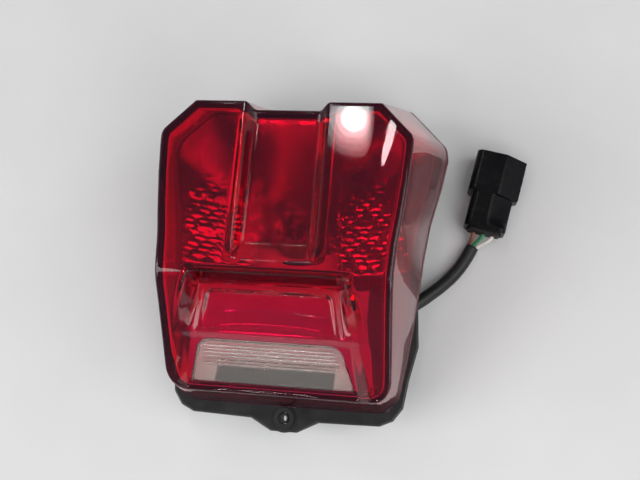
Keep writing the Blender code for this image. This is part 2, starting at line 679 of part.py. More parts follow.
add(insulator, rod("insulator_neck", 5.0 - GAP, FLOOR + GAP, INSUL_LOW + 0.6, BULB_AT))
dress(insulator, FIBRE)

spring_low = INSUL_LOW + INSUL_H + GAP + 0.5 * SPRING_WIRE
spring_top = PLATE_Z - GAP - 0.5 * SPRING_WIRE
count = SPRING_CURLS * SPRING_POINTS
coil = []
for k in range(count + 1):
    a = 2.0 * math.pi * k / SPRING_POINTS
    coil.append((bx + SPRING_R * math.cos(a), by + SPRING_R * math.sin(a),
                 spring_low + (spring_top - spring_low) * k / count))
dress(tube("contact_spring", coil, 0.5 * SPRING_WIRE, 1), STEEL)
print("contact_spring least self gap mm", round((spring_top - spring_low) / SPRING_CURLS - SPRING_WIRE, 3))

dress(rod("contact_plate", shell_in - GAP, PLATE_Z, PLATE_Z + PLATE_H, BULB_AT, 32, True), FIBRE)
pad_low = PLATE_Z + PLATE_H + GAP
bead_low = pad_low + PAD_H + GAP
for label, s in (("a", 1.0), ("b", -1.0)):
    spot = (bx + s * CONTACT_X, by)
    dress(rod(f"contact_pad_{label}", 1.9, pad_low, pad_low + PAD_H, spot, 20, True), BRASS)
    bead = [(0.0, bead_low), (0.9, bead_low), (1.5, bead_low + 0.4), (1.5, bead_low + BEAD_H), (0.0, bead_low + BEAD_H)]
    dress(lathe(f"bulb_contact_{label}", bead, (*spot, 0.0), 16), SOLDER)

# Bulb: cap with two pins, insulating disc, glass, stem and two filaments
cap_low = bead_low + BEAD_H + GAP
cap_top = cap_low + CAP_H
disc = dress(rod("bulb_disc", CAP_R - 0.7 - GAP, cap_low, cap_low + 1.6, BULB_AT, 32, True), GLASS)
cap = lathe("bulb_cap", [(CAP_R - 0.7, cap_low), (CAP_R, cap_low), (CAP_R, cap_top), (CAP_R - 0.7, cap_top)],
            (bx, by, 0.0), 32)
for label, side in (("a", 1.0), ("b", -1.0)):
    reach = [(0.0, 0.0), (PIN_R, 0.0), (PIN_R, side * 1.75), (0.0, side * 1.75)]
    add(cap, lathe(f"cap_pin_{label}", reach, (bx + side * (CAP_R - 0.55), by, PIN_Z), 12, False, "X"))
dress(cap, BRASS)
glass_low = cap_top + GAP
centre = glass_low + GLASS_UP
outer, inner = [(CAP_R - 0.2, glass_low)], []
for k in range(9):
    a = math.radians(-50.0 + 140.0 * k / 8)
    outer.append((GLASS_R * math.cos(a), centre + GLASS_R * math.sin(a)))
    inner.append(((GLASS_R - GLASS_T) * math.cos(a), centre + (GLASS_R - GLASS_T) * math.sin(a)))
outer[-1] = (0.0, outer[-1][1])
inner[-1] = (0.0, inner[-1][1])
glass = lathe("bulb_glass", outer + inner[::-1] + [(CAP_R - 0.2 - GLASS_T, glass_low)], (bx, by, 0.0), 32)
dress(glass, GLASS)
stem_low = cap_low + 1.6 + GAP
stem_top = glass_low + STEM_REACH
stem = lathe("bulb_stem", [(0.0, stem_low), (STEM_R, stem_low), (STEM_R, stem_low + STEM_FOOT),
                           (STEM_NECK, stem_low + STEM_TAPER), (STEM_NECK, stem_top), (0.0, stem_top)], (bx, by, 0.0), 20)
dress(stem, GLASS)
for label, y, high in (("stop", 1.1, 6.6), ("tail", -1.1, 4.4)):
    z = stem_top + GAP + 0.2
    line = [(bx - 1.2, by + y, z), (bx - 3.0, by + y, z + high * 0.6), (bx - 3.0, by + y, z + high),
            (bx - 1.5, by + y, z + high + 0.3), (bx, by + y, z + high + 0.5), (bx + 1.5, by + y, z + high + 0.3),
            (bx + 3.0, by + y, z + high), (bx + 3.0, by + y, z + high * 0.6), (bx + 1.2, by + y, z)]
    dress(tube(f"filament_{label}", line, 0.22, 1), TUNGSTEN)

# Cable: gland, sleeve, three wires inside the base and three to the plug
gx, gy, gz = GLAND_AT
neck_r = SLEEVE_R + 1.6 - GAP
gland = [(SLEEVE_R + GAP, TRAY_X - TRAY_WALL - gx), (neck_r, TRAY_X - TRAY_WALL - gx), (neck_r, TRAY_X + GAP - gx),
         (GLAND_R, TRAY_X + GAP - gx), (GLAND_R, TRAY_X + 1.8 - gx), (SLEEVE_R + GAP, TRAY_X + 1.8 - gx)]
dress(lathe("cable_gland", gland, GLAND_AT, 24, True, "X"), RUBBER)
dress(tube("cable_sleeve", SLEEVE_PATH, SLEEVE_R, 2), SLEEVE)

PLUG_M = (Matrix.Translation(Vector([mm(c) for c in PLUG_AT]))
          @ Matrix.Rotation(math.radians(PLUG_TURN), 4, "Z"))


def keyed(outline, w, h, sunk=0.0):
    """Section with its upper right corner pulled down to the slanted key face, or to sunk below it."""
    across, down = PLUG_KEY
    x0, z1 = 0.5 * w - across, 0.5 * h - sunk
    return [(x, min(z, z1 - down * max(x - x0, 0.0) / across)) for x, z in outline]


def plug_loop(w, h, r, y):
    """Rounded section of the plug in its own frame, placed in the lamp frame."""
    out = []
    for x, z in keyed(round_rect(w, h, r), w, h):
        p = PLUG_M @ Vector((mm(x), mm(y), mm(z)))
        out.append(tuple(1000.0 * c for c in p))
    return out


plug = loft("plug_housing", [plug_loop(BODY_W - 2.0, BODY_H - 2.0, PLUG_ROUND, -BODY_L),
                             plug_loop(BODY_W, BODY_H, PLUG_ROUND, -BODY_L + 1.0),
                             plug_loop(BODY_W, BODY_H, PLUG_ROUND, -1.5),
                             plug_loop(HOOD_W, HOOD_H, PLUG_ROUND, 0.0),
                             plug_loop(HOOD_W, HOOD_H, PLUG_ROUND, HOOD_L)], True)
PLUG_WAY = PLUG_M @ ALONG_Y
mouth = round_rect(HOOD_W - 2 * HOOD_WALL, HOOD_H - 2 * HOOD_WALL, PLUG_ROUND - 1.0)
mouth = keyed(mouth, HOOD_W, HOOD_H, 1.2 * HOOD_WALL)
cut(plug, slab("plug_mouth", mouth, -HOOD_L - 5.0, -HOOD_L + HOOD_DEEP, turn=PLUG_WAY))
rear = round_rect(SEAL_W + 2 * GAP, SEAL_H + 2 * GAP, 1.6)
cut(plug, slab("plug_rear", rear, BODY_L - SEAL_L, BODY_L + 5.0, turn=PLUG_WAY))
blade_y = HOOD_L - HOOD_DEEP
dress(plug, PLUG)
seal = slab("plug_seal", round_rect(SEAL_W, SEAL_H, 1.4), BODY_L - SEAL_L + GAP, BODY_L + 1.0, True, PLUG_WAY)
dress(seal, RUBBER)
for i, label in enumerate(("a", "b", "c")):
    x = BLADE_PITCH * (i - 1)
    dress(box(f"plug_blade_{label}", BLADE, (x, blade_y + GAP + 0.5 * BLADE[1], 0.0), PLUG_M, True), BRASS)

end = np.array(SLEEVE_PATH[-1])
aim = end - np.array(SLEEVE_PATH[-2])
aim /= np.linalg.norm(aim)
cross = np.array((aim[1], -aim[0], 0.0))
cross /= np.linalg.norm(cross)
start = np.array(SLEEVE_PATH[0])
for i, (label, mat) in enumerate((("brown", BROWN), ("green", GREEN), ("white", WHITE))):
    s = i - 1
    p0 = end + aim * GAP + cross * WIRE_SPREAD * s
    goal = PLUG_M @ Vector((mm(BLADE_PITCH * 0.75 * s), mm(-BODY_L - 1.0 - GAP), 0.0))
    p3 = np.array([1000.0 * c for c in goal])
    back = np.array((math.sin(math.radians(PLUG_TURN)), -math.cos(math.radians(PLUG_TURN)), 0.0))
    p1, p2 = p0 + aim * 2.2, p3 + back * 2.2
    line = []
    for t in np.linspace(0.0, 1.0, 8):
        u = 1.0 - t
        line.append(tuple(u ** 3 * p0 + 3 * u * u * t * p1 + 3 * u * t * t * p2 + t ** 3 * p3))
    dress(tube(f"wire_{label}", line, WIRE_R, 2), mat)
    q0 = start + np.array((-GAP, WIRE_SPREAD * s, 0.0))
    reach = shell_in + GAP
    side = np.array((-math.sin(math.radians(lead_way)), math.cos(math.radians(lead_way)), 0.0))
    out = np.array((math.cos(math.radians(lead_way)), math.sin(math.radians(lead_way)), 0.0))
    hub = np.array((bx, by, INSUL_LOW + 1.0))
    q3 = hub + out * reach + side * 2.2 * s
    q1, q2 = q0 + np.array((-7.0, 0.0, 0.0)), q3 + out * 7.0
    line = []
    for t in np.linspace(0.0, 1.0, 10):
        u = 1.0 - t
        line.append(tuple(u ** 3 * q0 + 3 * u * u * t * q1 + 3 * u * t * t * q2 + t ** 3 * q3))
    dress(tube(f"inner_lead_{label}", line, WIRE_R, 2), mat)

# Moving pieces hang on empties that sit on the bulb axis
def hang(empty_name, names, parent=None):
    """Parent named pieces to an empty on the bulb axis without moving them."""
    empty = bpy.data.objects.new(empty_name, None)
    PARTS.objects.link(empty)
    empty.location = (mm(bx), mm(by), 0.0)
    if parent is not None:
        empty.parent = parent
        empty.location = (0.0, 0.0, 0.0)
    back = Matrix.Translation(Vector((-mm(bx), -mm(by), 0.0)))
    for name in names:
        bpy.data.objects[name].parent = empty
        bpy.data.objects[name].matrix_parent_inverse = back
    return empty


carriage = hang("push_axis", ["contact_plate", "contact_pad_a", "contact_pad_b"])
hang("twist_axis", ["bulb_contact_a", "bulb_contact_b", "bulb_disc", "bulb_cap", "bulb_glass", "bulb_stem",
                    "filament_stop", "filament_tail"], carriage)
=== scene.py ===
"""Looks of a motorcycle tail and brake lamp: red lens, plate window, silvered reflector, black base and lead.

Sizes are millimetres in the classes below and become metres in put_mesh(). X is right, Y the top end, Z the front.
"""

import logging
import math
from dataclasses import dataclass
from enum import Enum

import bpy
import numpy as np
from mathutils import Euler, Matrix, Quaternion, Vector


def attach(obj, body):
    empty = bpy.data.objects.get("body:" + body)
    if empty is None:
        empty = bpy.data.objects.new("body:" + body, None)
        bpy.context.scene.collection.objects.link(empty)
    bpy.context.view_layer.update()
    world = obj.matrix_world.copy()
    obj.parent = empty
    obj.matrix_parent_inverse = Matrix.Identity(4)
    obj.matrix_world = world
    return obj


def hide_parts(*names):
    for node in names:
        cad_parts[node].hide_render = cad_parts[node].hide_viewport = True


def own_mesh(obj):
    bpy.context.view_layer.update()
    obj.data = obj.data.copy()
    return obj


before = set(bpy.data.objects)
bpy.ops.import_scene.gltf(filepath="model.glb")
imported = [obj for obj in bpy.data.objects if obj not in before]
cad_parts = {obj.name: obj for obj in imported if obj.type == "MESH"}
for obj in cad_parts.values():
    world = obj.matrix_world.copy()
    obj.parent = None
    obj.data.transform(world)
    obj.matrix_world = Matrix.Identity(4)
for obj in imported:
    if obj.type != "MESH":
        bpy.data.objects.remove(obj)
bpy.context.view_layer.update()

LOG = logging.getLogger("tail_lamp")
MM = 0.001
Points = np.ndarray
Pair = tuple[float, float]
Triple = tuple[float, float, float]
Socket = bpy.types.NodeSocket
Piece = bpy.types.Object


class Body(Enum):
    """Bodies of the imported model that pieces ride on."""
    LAMP = "lamp"


# Curves and grids


def knee(t: Points, soft: float) -> Points:
    """Zero before 0 and t after it, joined by a parabola over the width 2 * soft."""
    inner = (t + soft) ** 2 / (4.0 * soft)
    return np.where(t < -soft, 0.0, np.where(t < soft, inner, t))


def ramp(t: Points, soft: float = 0.2) -> Points:
    """Straight rise from 0 to 1 with both ends rounded: one knee less the same knee one unit on."""
    return knee(t, soft) - knee(t - 1.0, soft)


def soft_line(x: Points, knots: Points, soft: float) -> Points:
    """Broken line through knots, each bend rounded: first slope plus every change of slope times a knee.

    Args:
        x: stations where the line is wanted.
        knots: (station, height) rows, stations rising.
        soft: half width of the rounding at each bend.

    Returns:
        Heights at the stations.
    """
    knots = np.asarray(knots, float)
    slope = np.diff(knots[:, 1]) / np.diff(knots[:, 0])
    bend = np.diff(slope)
    out = knots[0, 1] + slope[0] * (x - knots[0, 0])
    return out + np.tensordot(knee(x[..., None] - knots[1:-1, 0], soft), bend, axes=([-1], [0]))


def soft_min(a: Points, b: Points, soft: float) -> Points:
    """Smaller of two fields with the corner between them rounded: b less a knee of their difference."""
    return b - knee(b - a, soft)


def steps(stops: list[float], counts: list[int]) -> Points:
    """Stations along a run of stops, with a count of equal parts between each pair."""
    parts = [np.linspace(a, b, n, endpoint=False) for a, b, n in zip(stops[:-1], stops[1:], counts)]
    return np.concatenate(parts + [np.array(stops[-1:])])


def inset(outline: Points, d: float) -> Points:
    """Closed outline with every side moved inward by d: each corner goes along its two side normals.

    Args:
        outline: (n, 2) corners in order.
        d: distance inward.

    Returns:
        (n, 2) corners of the smaller outline.
    """
    run = np.roll(outline, -1, axis=0) - outline
    run = run / np.linalg.norm(run, axis=1)[:, None]
    nxt = np.roll(outline, -1, axis=0)
    area = np.sum(outline[:, 0] * nxt[:, 1] - nxt[:, 0] * outline[:, 1])
    side = np.stack([-run[:, 1], run[:, 0]], axis=1) * np.sign(area)
    before = np.roll(side, 1, axis=0)
    return outline + d * (before + side) / (1.0 + np.sum(before * side, axis=1))[:, None]


def both_sides(half: Points) -> Points:
    """Closed outline from its right half, which runs from top centre to bottom centre."""
    return np.concatenate([half, half[-2:0:-1] * (-1.0, 1.0)])


def bow(t: Points, a: Points, b: Points, c: Points) -> Points:
    """Quadratic curve from a to c that leaves towards b and arrives from it."""
    return (1 - t) ** 2 * a + 2 * t * (1 - t) * b + t ** 2 * c


def rounded_run(run: Points, turns: dict[int, float], count: int = 6) -> Points:
    """Open run of corners with some of them rounded by a quadratic curve between two points on their sides.

    Args:
        run: (n, 2) corners in order.
        turns: distance cut back on both sides, for each corner number that is rounded.
        count: points of each curve.

    Returns:
        (m, 2) points of the run.
    """
    out = [run[:1]]
    t = np.linspace(0.0, 1.0, count)[:, None]
    for k, (before, at, after) in enumerate(zip(run[:-2], run[1:-1], run[2:]), 1):
        cut = turns.get(k)
        if cut is None:
            out.append(at[None])
            continue
        a = at + cut * (before - at) / np.linalg.norm(before - at)
        b = at + cut * (after - at) / np.linalg.norm(after - at)
        out.append(bow(t, a, at, b))
    return np.concatenate(out + [run[-1:]])


def quads(index: Points, close: bool = False) -> Points:
    """Quads between neighbouring rows and columns of a grid of vertex numbers.

    Args:
        index: (rows, columns) vertex numbers.
        close: whether the last column joins the first.

    Returns:
        (n, 4) vertex numbers.
    """
    if close:
        index = np.concatenate([index, index[:, :1]], axis=1)
    corners = [index[:-1, :-1], index[:-1, 1:], index[1:, 1:], index[1:, :-1]]
    return np.stack([c.ravel() for c in corners], axis=1)


def border_of(index: Points) -> Points:
    """Vertex numbers round a grid: first row, last column, last row and first column in turn."""
    return np.concatenate([index[0, :-1], index[:-1, -1], index[-1, :0:-1], index[:0:-1, 0]])


def put_mesh(name: str, points: Points, faces: Points, caps: tuple = (), smooth: bool = True) -> Piece:
    """Make an object from millimetre points and faces, at the origin.

    Args:
        name: piece name.
        points: (n, 3) places in millimetres.
        faces: (m, 4) vertex numbers.
        caps: further faces of any length.
        smooth: whether faces are shaded smooth.

    Returns:
        The linked object.
    """
    mesh = bpy.data.meshes.new(name)
    mesh.from_pydata((points * MM).tolist(), [], faces.tolist() + [list(map(int, c)) for c in caps])
    mesh.polygons.foreach_set("use_smooth", np.full(len(mesh.polygons), smooth))
    mesh.validate()
    mesh.update()
    obj = bpy.data.objects.new(name, mesh)
    bpy.context.scene.collection.objects.link(obj)
    return obj


def put_slab(name: str, front: Points, back: Points, close: bool = False) -> Piece:
    """Closed piece between two grids of one shape: both grids and the band or bands between their edges.

    Args:
        name: piece name.
        front: (rows, columns, 3) places of the front.
        back: places of the back.
        close: whether the last column joins the first.

    Returns:
        The linked object.
    """
    rows, cols, _ = front.shape
    index = np.arange(rows * cols).reshape(rows, cols)
    if close:
        loop = np.concatenate([index, index[::-1] + rows * cols, index[:1]])
        faces = quads(loop, True)[:, ::-1]
    else:
        rim = border_of(index)
        band = quads(np.stack([rim, rim + rows * cols]), True)
        faces = np.concatenate([quads(index)[:, ::-1], quads(index) + rows * cols, band])
    return put_mesh(name, np.concatenate([front.reshape(-1, 3), back.reshape(-1, 3)]), faces)


def mark_points(obj: Piece, name: str, values: Points) -> None:
    """Store one number from 0 to 1 for each point of a piece, for its material."""
    values = np.clip(values, 0.0, 1.0).astype(np.float32)
    obj.data.attributes.new(name, "FLOAT", "POINT").data.foreach_set("value", values)


def even_shade(obj: Piece) -> None:
    """Weigh vertex normals by face area, so that flats stay flat beside narrow fillets."""
    step = obj.modifiers.new("even_shade", "WEIGHTED_NORMAL")
    step.weight = 80
    step.keep_sharp = True


def sweep(path: Points, radii: Points, sides: int) -> tuple[Points, Points, list]:
    """Round tube along a path: at each point a circle across the path's direction, with its own radius.

    Args:
        path: (n, 3) centre line.
        radii: (n,) radius at each point.
        sides: points round the circle.

    Returns:
        Points, quads and the two end caps.
    """
    way = np.gradient(path, axis=0)
    way[np.linalg.norm(way, axis=1) < 1e-9] = way[0]
    way /= np.linalg.norm(way, axis=1)[:, None]
    up = np.cross(np.cross(way, (0.0, 0.0, 1.0)), way)
    up /= np.linalg.norm(up, axis=1)[:, None]
    side = np.cross(way, up)
    a = np.linspace(0.0, 2.0 * math.pi, sides, endpoint=False)
    ring = np.cos(a)[None, :, None] * side[:, None, :] + np.sin(a)[None, :, None] * up[:, None, :]
    pts = path[:, None, :] + radii[:, None, None] * ring
    index = np.arange(len(path) * sides).reshape(len(path), sides)
    return pts.reshape(-1, 3), quads(index, True)[:, ::-1], [index[0], index[-1][::-1]]


def put_tube(name: str, path: Points, radius: float, sides: int) -> Piece:
    """Closed round tube of one radius along a path."""
    pts, faces, caps = sweep(path, np.full(len(path), radius), sides)
    return put_mesh(name, pts, faces, tuple(caps))


def smooth_path(points: Points, count: int) -> Points:
    """Curve through points, by chord length: a uniform cubic through each four neighbours (Catmull-Rom).

    Args:
        points: (n, 3) points on the way.
        count: points wanted.

    Returns:
        (count, 3) points on the curve.
    """
    p = np.concatenate([[2 * points[0] - points[1]], points, [2 * points[-1] - points[-2]]])
    t = np.linspace(0.0, len(points) - 1.0, count)
    k = np.minimum(t.astype(int), len(points) - 2)
    f = (t - k)[:, None]
    a, b, c, d = p[k], p[k + 1], p[k + 2], p[k + 3]
    return 0.5 * (2 * b + (c - a) * f + (2 * a - 5 * b + 4 * c - d) * f ** 2 + (3 * b - a - 3 * c + d) * f ** 3)


# Finishes


class Graph:
    """Small helper that adds nodes to one node tree and links them."""

    def __init__(self, tree: bpy.types.NodeTree, place: str) -> None:
        """Work on a tree, over one kind of texture coordinates."""
        self.tree = tree
        self.place = self.add("ShaderNodeTexCoord").outputs[place]

    def add(self, kind: str, inputs: dict | None = None, **settings: str) -> bpy.types.Node:
        """Add a node.

        Args:
            kind: node type.
            inputs: for an input's name or number, a socket to link or a constant.
            settings: properties of the node, set before its inputs.

        Returns:
            The node.
        """
        node = self.tree.nodes.new(kind)
        for key, value in settings.items():
            setattr(node, key, value)
        for key, value in (inputs or {}).items():
            self.put(node, key, value)
        return node

    def put(self, node: bpy.types.Node, key: str | int, value: Socket | float | tuple) -> None:
        """Link a socket to a node's input, or set it to a constant."""
        if isinstance(value, Socket):
            self.tree.links.new(value, node.inputs[key])
        else:
            node.inputs[key].default_value = value

    def noise(self, scale: float, detail: float = 3.0, stretch: Triple = (1.0, 1.0, 1.0)) -> Socket:
        """Noise of so many cells per metre and octaves, with a scale along each axis."""
        turn = self.add("ShaderNodeMapping", {"Vector": self.place, "Scale": stretch}).outputs[0]
        return self.add("ShaderNodeTexNoise", {"Vector": turn, "Scale": scale, "Detail": detail}).outputs[0]

    def spread(self, value: Socket, low: float, high: float, a: float = 0.3, b: float = 0.7) -> Socket:
        """Map a value from the span a..b to low..high."""
        span = {"Value": value, "From Min": a, "From Max": b, "To Min": low, "To Max": high}
        return self.add("ShaderNodeMapRange", span).outputs[0]

    def mix(self, value: Socket, low: Socket | Triple, high: Socket | Triple) -> Socket:
        """One colour where the value is 0, and another where it is 1; each a socket or a constant."""
        a, b = (c if isinstance(c, Socket) else (*c, 1.0) for c in (low, high))
        return self.add("ShaderNodeMix", {0: value, 6: a, 7: b}, data_type="RGBA").outputs[2]

    def stored(self, name: str) -> Socket:
        """Number stored on the piece's points."""
        return self.add("ShaderNodeAttribute", attribute_name=name).outputs["Fac"]

    def more(self, value: Socket, other: Socket, share: float = 1.0) -> Socket:
        """A value plus a share of another."""
        return self.add("ShaderNodeMath", {0: other, 1: share, 2: value}, operation="MULTIPLY_ADD").outputs[0]

    def times(self, value: Socket, other: Socket) -> Socket:
        """One value times another."""
        return self.add("ShaderNodeMath", {0: value, 1: other}, operation="MULTIPLY").outputs[0]

    def axis(self, k: int) -> Socket:
        """One coordinate."""
        return self.add("ShaderNodeSeparateXYZ", {0: self.place}).outputs[k]


class Nodes(Graph):
    """Material with one Principled shader, over Object coordinates in metres."""

    def __init__(self, name: str) -> None:
        """Start the material."""
        self.mat = bpy.data.materials.new(name)
        self.mat.use_nodes = True
        super().__init__(self.mat.node_tree, "Object")
        self.shader = self.tree.nodes["Principled BSDF"]

    def feed(self, key: str, value: Socket | float | tuple) -> None:
        """Link or set an input of the shader."""
        self.put(self.shader, key, value)

    def bump(self, value: Socket, depth: float, strength: float = 1.0) -> None:
        """Raise the surface by a value times a depth in metres."""
        node = self.add("ShaderNodeBump", {"Strength": strength, "Distance": depth, "Height": value})
        self.feed("Normal", node.outputs[0])


@dataclass(frozen=True)
class Moulded:
    """Moulded plastic or rubber: faint mottling, fine grain and uneven gloss."""
    name: str
    colour: Triple
    worn: Triple
    rough: Pair
    grain: float = 900.0
    depth: float = 0.00003
    level: float = 0.5

    def material(self) -> bpy.types.Material:
        """Build the material: two noises, a broad one for colour and gloss and a fine one for grain."""
        n = Nodes(self.name)
        broad = n.noise(110.0, 4.0)
        n.feed("Base Color", n.mix(n.spread(broad, 0.0, 1.0), self.colour, self.worn))
        n.feed("Roughness", n.spread(n.noise(260.0, 5.0), *self.rough))
        n.feed("Specular IOR Level", self.level)
        n.bump(n.noise(self.grain, 2.0), self.depth)
        return n.mat


@dataclass(frozen=True)
class Metal:
    """Bare or plated metal: tint changes a little, gloss is uneven and fine lines run across it."""
    name: str
    colour: Triple
    dull: Triple
    rough: Pair
    lines: Triple = (1.0, 1.0, 6.0)

    def material(self) -> bpy.types.Material:
        """Build the material from a broad tint noise and a stretched gloss noise."""
        n = Nodes(self.name)
        n.feed("Base Color", n.mix(n.spread(n.noise(150.0, 4.0), 0.0, 1.0), self.colour, self.dull))
        fine = n.noise(700.0, 4.0, self.lines)
        n.feed("Roughness", n.spread(fine, *self.rough))
        n.feed("Metallic", 1.0)
        n.bump(fine, 0.00001, 0.4)
        return n.mat


@dataclass(frozen=True)
class Clear:
    """Clear moulding or glass, tinted by skin and depth; the lens adds painted sheen and painted shade."""
    name: str
    skin: Triple
    depth_tint: Triple | None
    density: float
    index: float
    rough: Pair
    frost: float = 0.0
    clear: float = 1.0
    # Painted sheen: pink colour and its cover of the transmission, standing in for the walls' reflection of the
    # floor.
    painted_sheen: Triple | None = None
    painted_sheen_cover: float = 0.0
    sheen: float = 0.35
    sheen_rough: float = 0.35
    sheen_tint: Triple = (1.0, 0.80, 0.80)
    # Painted shade: base colour of the lens where it is marked as the pocket's shaded back wall.
    dark: Triple = (0.03, 0.003, 0.008)

    def material(self) -> bpy.types.Material:
        """Build it: full transmission, handling marks in the gloss, frost, painted sheen and shade, absorption
        inside.
        """
        n = Nodes(self.name)
        n.feed("Base Color", (*self.skin, 1.0))
        n.feed("Transmission Weight", self.clear)
        n.feed("IOR", self.index)
        gloss = n.spread(n.noise(90.0, 6.0), *self.rough, 0.45, 0.75)
        if self.frost > 0.0:
            gloss = n.more(gloss, n.stored("frost"), self.frost)
        # Painted sheen on the marked walls stands in for their reflection of the floor; painted shade on the back
        # wall.
        if self.painted_sheen is not None:
            share = n.stored("painted_sheen")
            plain = n.mix(share, self.skin, self.painted_sheen)
            n.feed("Base Color", n.mix(n.stored("painted_shade"), plain, self.dark))
            n.feed("Transmission Weight", n.spread(share, self.clear, self.clear - self.painted_sheen_cover, 0.0, 1.0))
            n.feed("Sheen Weight", n.spread(share, 0.0, self.sheen, 0.0, 1.0))
            n.feed("Sheen Roughness", self.sheen_rough)
            n.feed("Sheen Tint", (*self.sheen_tint, 1.0))
        n.feed("Roughness", gloss)
        n.bump(n.noise(60.0, 2.0), 0.00004, 0.35)
        if self.depth_tint is not None:
            tint = {"Color": (*self.depth_tint, 1.0), "Density": self.density}
            body = n.add("ShaderNodeVolumeAbsorption", tint).outputs[0]
            n.put(n.tree.nodes["Material Output"], "Volume", body)
        return n.mat


@dataclass(frozen=True)
class Silvered:
    """Dish silvered over its optical part; below, a pale skirt behind the window and bare plastic at its sides.

    Places are metres: end and foot bound the silver, middle the centre panel, brow and skirt a bare grey band that
    is painted shade along the pocket's back wall, reach the pale skirt across, dim a greyer stripe with its share,
    slot the black rectangle of painted shade that stands for the shaded gap behind the window, and dull_from and
    haze the duller and rougher top.
    """
    name: str
    silver: Triple
    dull: Triple
    pale: Triple
    bare: Triple
    black: Triple
    rough: Pair
    end: float = -0.0045
    skirt: float = -0.0105
    brow: float = -0.0055
    reach: Pair = (-0.040, 0.031)
    middle: float = 0.017
    foot: float = 0.003
    dim: Triple = (-0.0300, -0.0205, 0.25)
    slot: Triple = (-0.0255, 0.0205, -0.0445)
    dull_from: Pair = (0.012, 0.034)
    haze: Triple = (0.018, 0.040, 0.09)
    crisp: float = 0.0004
    hazy: float = 0.006

    def material(self) -> bpy.types.Material:
        """Build the material from masks over the piece's own X and Y."""
        n = Nodes(self.name)
        x, y = n.axis(0), n.axis(1)

        def after(value: Socket, edge: float, way: float = 1.0, soft: float = self.crisp) -> Socket:
            """1 past an edge and 0 before it, or the other way round."""
            return n.spread(value, 0.5 - 0.5 * way, 0.5 + 0.5 * way, edge - soft, edge + soft)

        def between(value: Socket, a: float, b: float, soft: float = self.crisp) -> Socket:
            """1 between two edges and 0 outside them."""
            return n.times(after(value, a, 1.0, soft), after(value, b, -1.0, soft))

        inner = between(x, -self.middle, self.middle)
        outer = n.more(after(x, self.middle, 1.0, self.hazy), after(x, -self.middle, -1.0, self.hazy))
        low = n.more(after(y, self.end, -1.0), n.times(inner, between(y, self.end, self.foot)))
        # Painted shade: a black rectangle on the skirt stands for the shaded gap seen through the window.
        x0, x1, y1 = self.slot
        slot = n.times(between(x, x0, x1), after(y, y1, -1.0))
        left, right = self.reach
        sides = n.more(after(x, right), after(x, left, -1.0))
        # Painted shade: the band between skirt and brow is bare grey to give the shade along the pocket's back
        # wall; the sides are bare plastic.
        under = n.more(after(y, self.brow, -1.0), n.times(outer, after(y, self.brow)))
        bare = n.more(sides, n.times(after(y, self.skirt), under))
        y0, y2, share = self.dim
        bare = n.more(bare, between(y, y0, y2, self.hazy), share)
        mirror = n.mix(n.times(outer, n.spread(y, 0.0, 1.0, *self.dull_from)), self.silver, self.dull)
        matt = n.mix(slot, n.mix(bare, self.pale, self.bare), self.black)
        n.feed("Base Color", n.mix(low, mirror, matt))
        n.feed("Metallic", n.spread(low, 1.0, 0.0, 0.0, 1.0))
        gloss = n.more(n.spread(n.noise(700.0, 4.0), *self.rough), low, 0.5)
        y3, y4, rougher = self.haze
        n.feed("Roughness", n.more(gloss, n.spread(y, 0.0, 1.0, y3, y4), rougher))
        return n.mat


# The last two values are the painted sheen's colour and its cover of the transmission.
LENS_RED = Clear("lens_red", (0.97, 0.22, 0.50), (0.976, 0.0, 0.53), 1050.0, 1.49, (0.012, 0.07), 0.18, 0.983,
                 (0.85, 0.30, 0.36), 0.08)
WINDOW_CLEAR = Clear("window_clear", (0.95, 0.92, 0.87), None, 0.0, 1.49, (0.02, 0.12), clear=0.92)
BULB_GLASS = Clear("bulb_glass", (0.97, 0.98, 0.98), None, 0.0, 1.5, (0.0, 0.02))
BASE_BLACK = Moulded("base_black", (0.012, 0.012, 0.013), (0.020, 0.019, 0.020), (0.30, 0.46), level=0.4)
RUBBER_BLACK = Moulded("rubber_black", (0.010, 0.010, 0.010), (0.022, 0.021, 0.021), (0.5, 0.75),
                       500.0, 0.00005, 0.3)
SLEEVE_BLACK = Moulded("sleeve_black", (0.009, 0.009, 0.010), (0.017, 0.016, 0.017), (0.32, 0.5),
                       350.0, 0.00004, 0.4)
PLUG_BLACK = Moulded("plug_black", (0.004, 0.004, 0.005), (0.006, 0.006, 0.007), (0.20, 0.30),
                     1200.0, 0.00001, 0.16)
FIBRE_BROWN = Moulded("fibre_brown", (0.20, 0.11, 0.055), (0.30, 0.18, 0.10), (0.5, 0.7))
WIRES = {label: Moulded("wire_" + label, colour, worn, (0.3, 0.5)) for label, colour, worn in (
    ("brown", (0.16, 0.055, 0.030), (0.24, 0.10, 0.06)), ("green", (0.030, 0.20, 0.075), (0.045, 0.26, 0.11)),
    ("white", (0.72, 0.68, 0.62), (0.80, 0.77, 0.72)))}
# The black is painted shade for the gap behind the window; the bare grey is also painted shade under the brow.
REFLECTOR_SILVER = Silvered("reflector_silver", (0.56, 0.56, 0.57), (0.28, 0.28, 0.29), (0.88, 0.90, 0.87),
                            (0.17, 0.17, 0.17), (0.04, 0.04, 0.04), (0.05, 0.14))
STEEL_ZINC = Metal("steel_zinc", (0.62, 0.62, 0.63), (0.48, 0.48, 0.50), (0.25, 0.42))
BRASS = Metal("brass", (0.72, 0.53, 0.24), (0.58, 0.42, 0.20), (0.22, 0.4))
TUNGSTEN = Metal("tungsten", (0.36, 0.36, 0.37), (0.25, 0.25, 0.26), (0.3, 0.5))
SOLDER = Metal("solder", (0.62, 0.62, 0.64), (0.5, 0.5, 0.52), (0.3, 0.5))
STEEL_BLACK = Metal("steel_black", (0.05, 0.05, 0.05), (0.03, 0.03, 0.03), (0.45, 0.6))


Finish = Moulded | Metal | Clear | Silvered


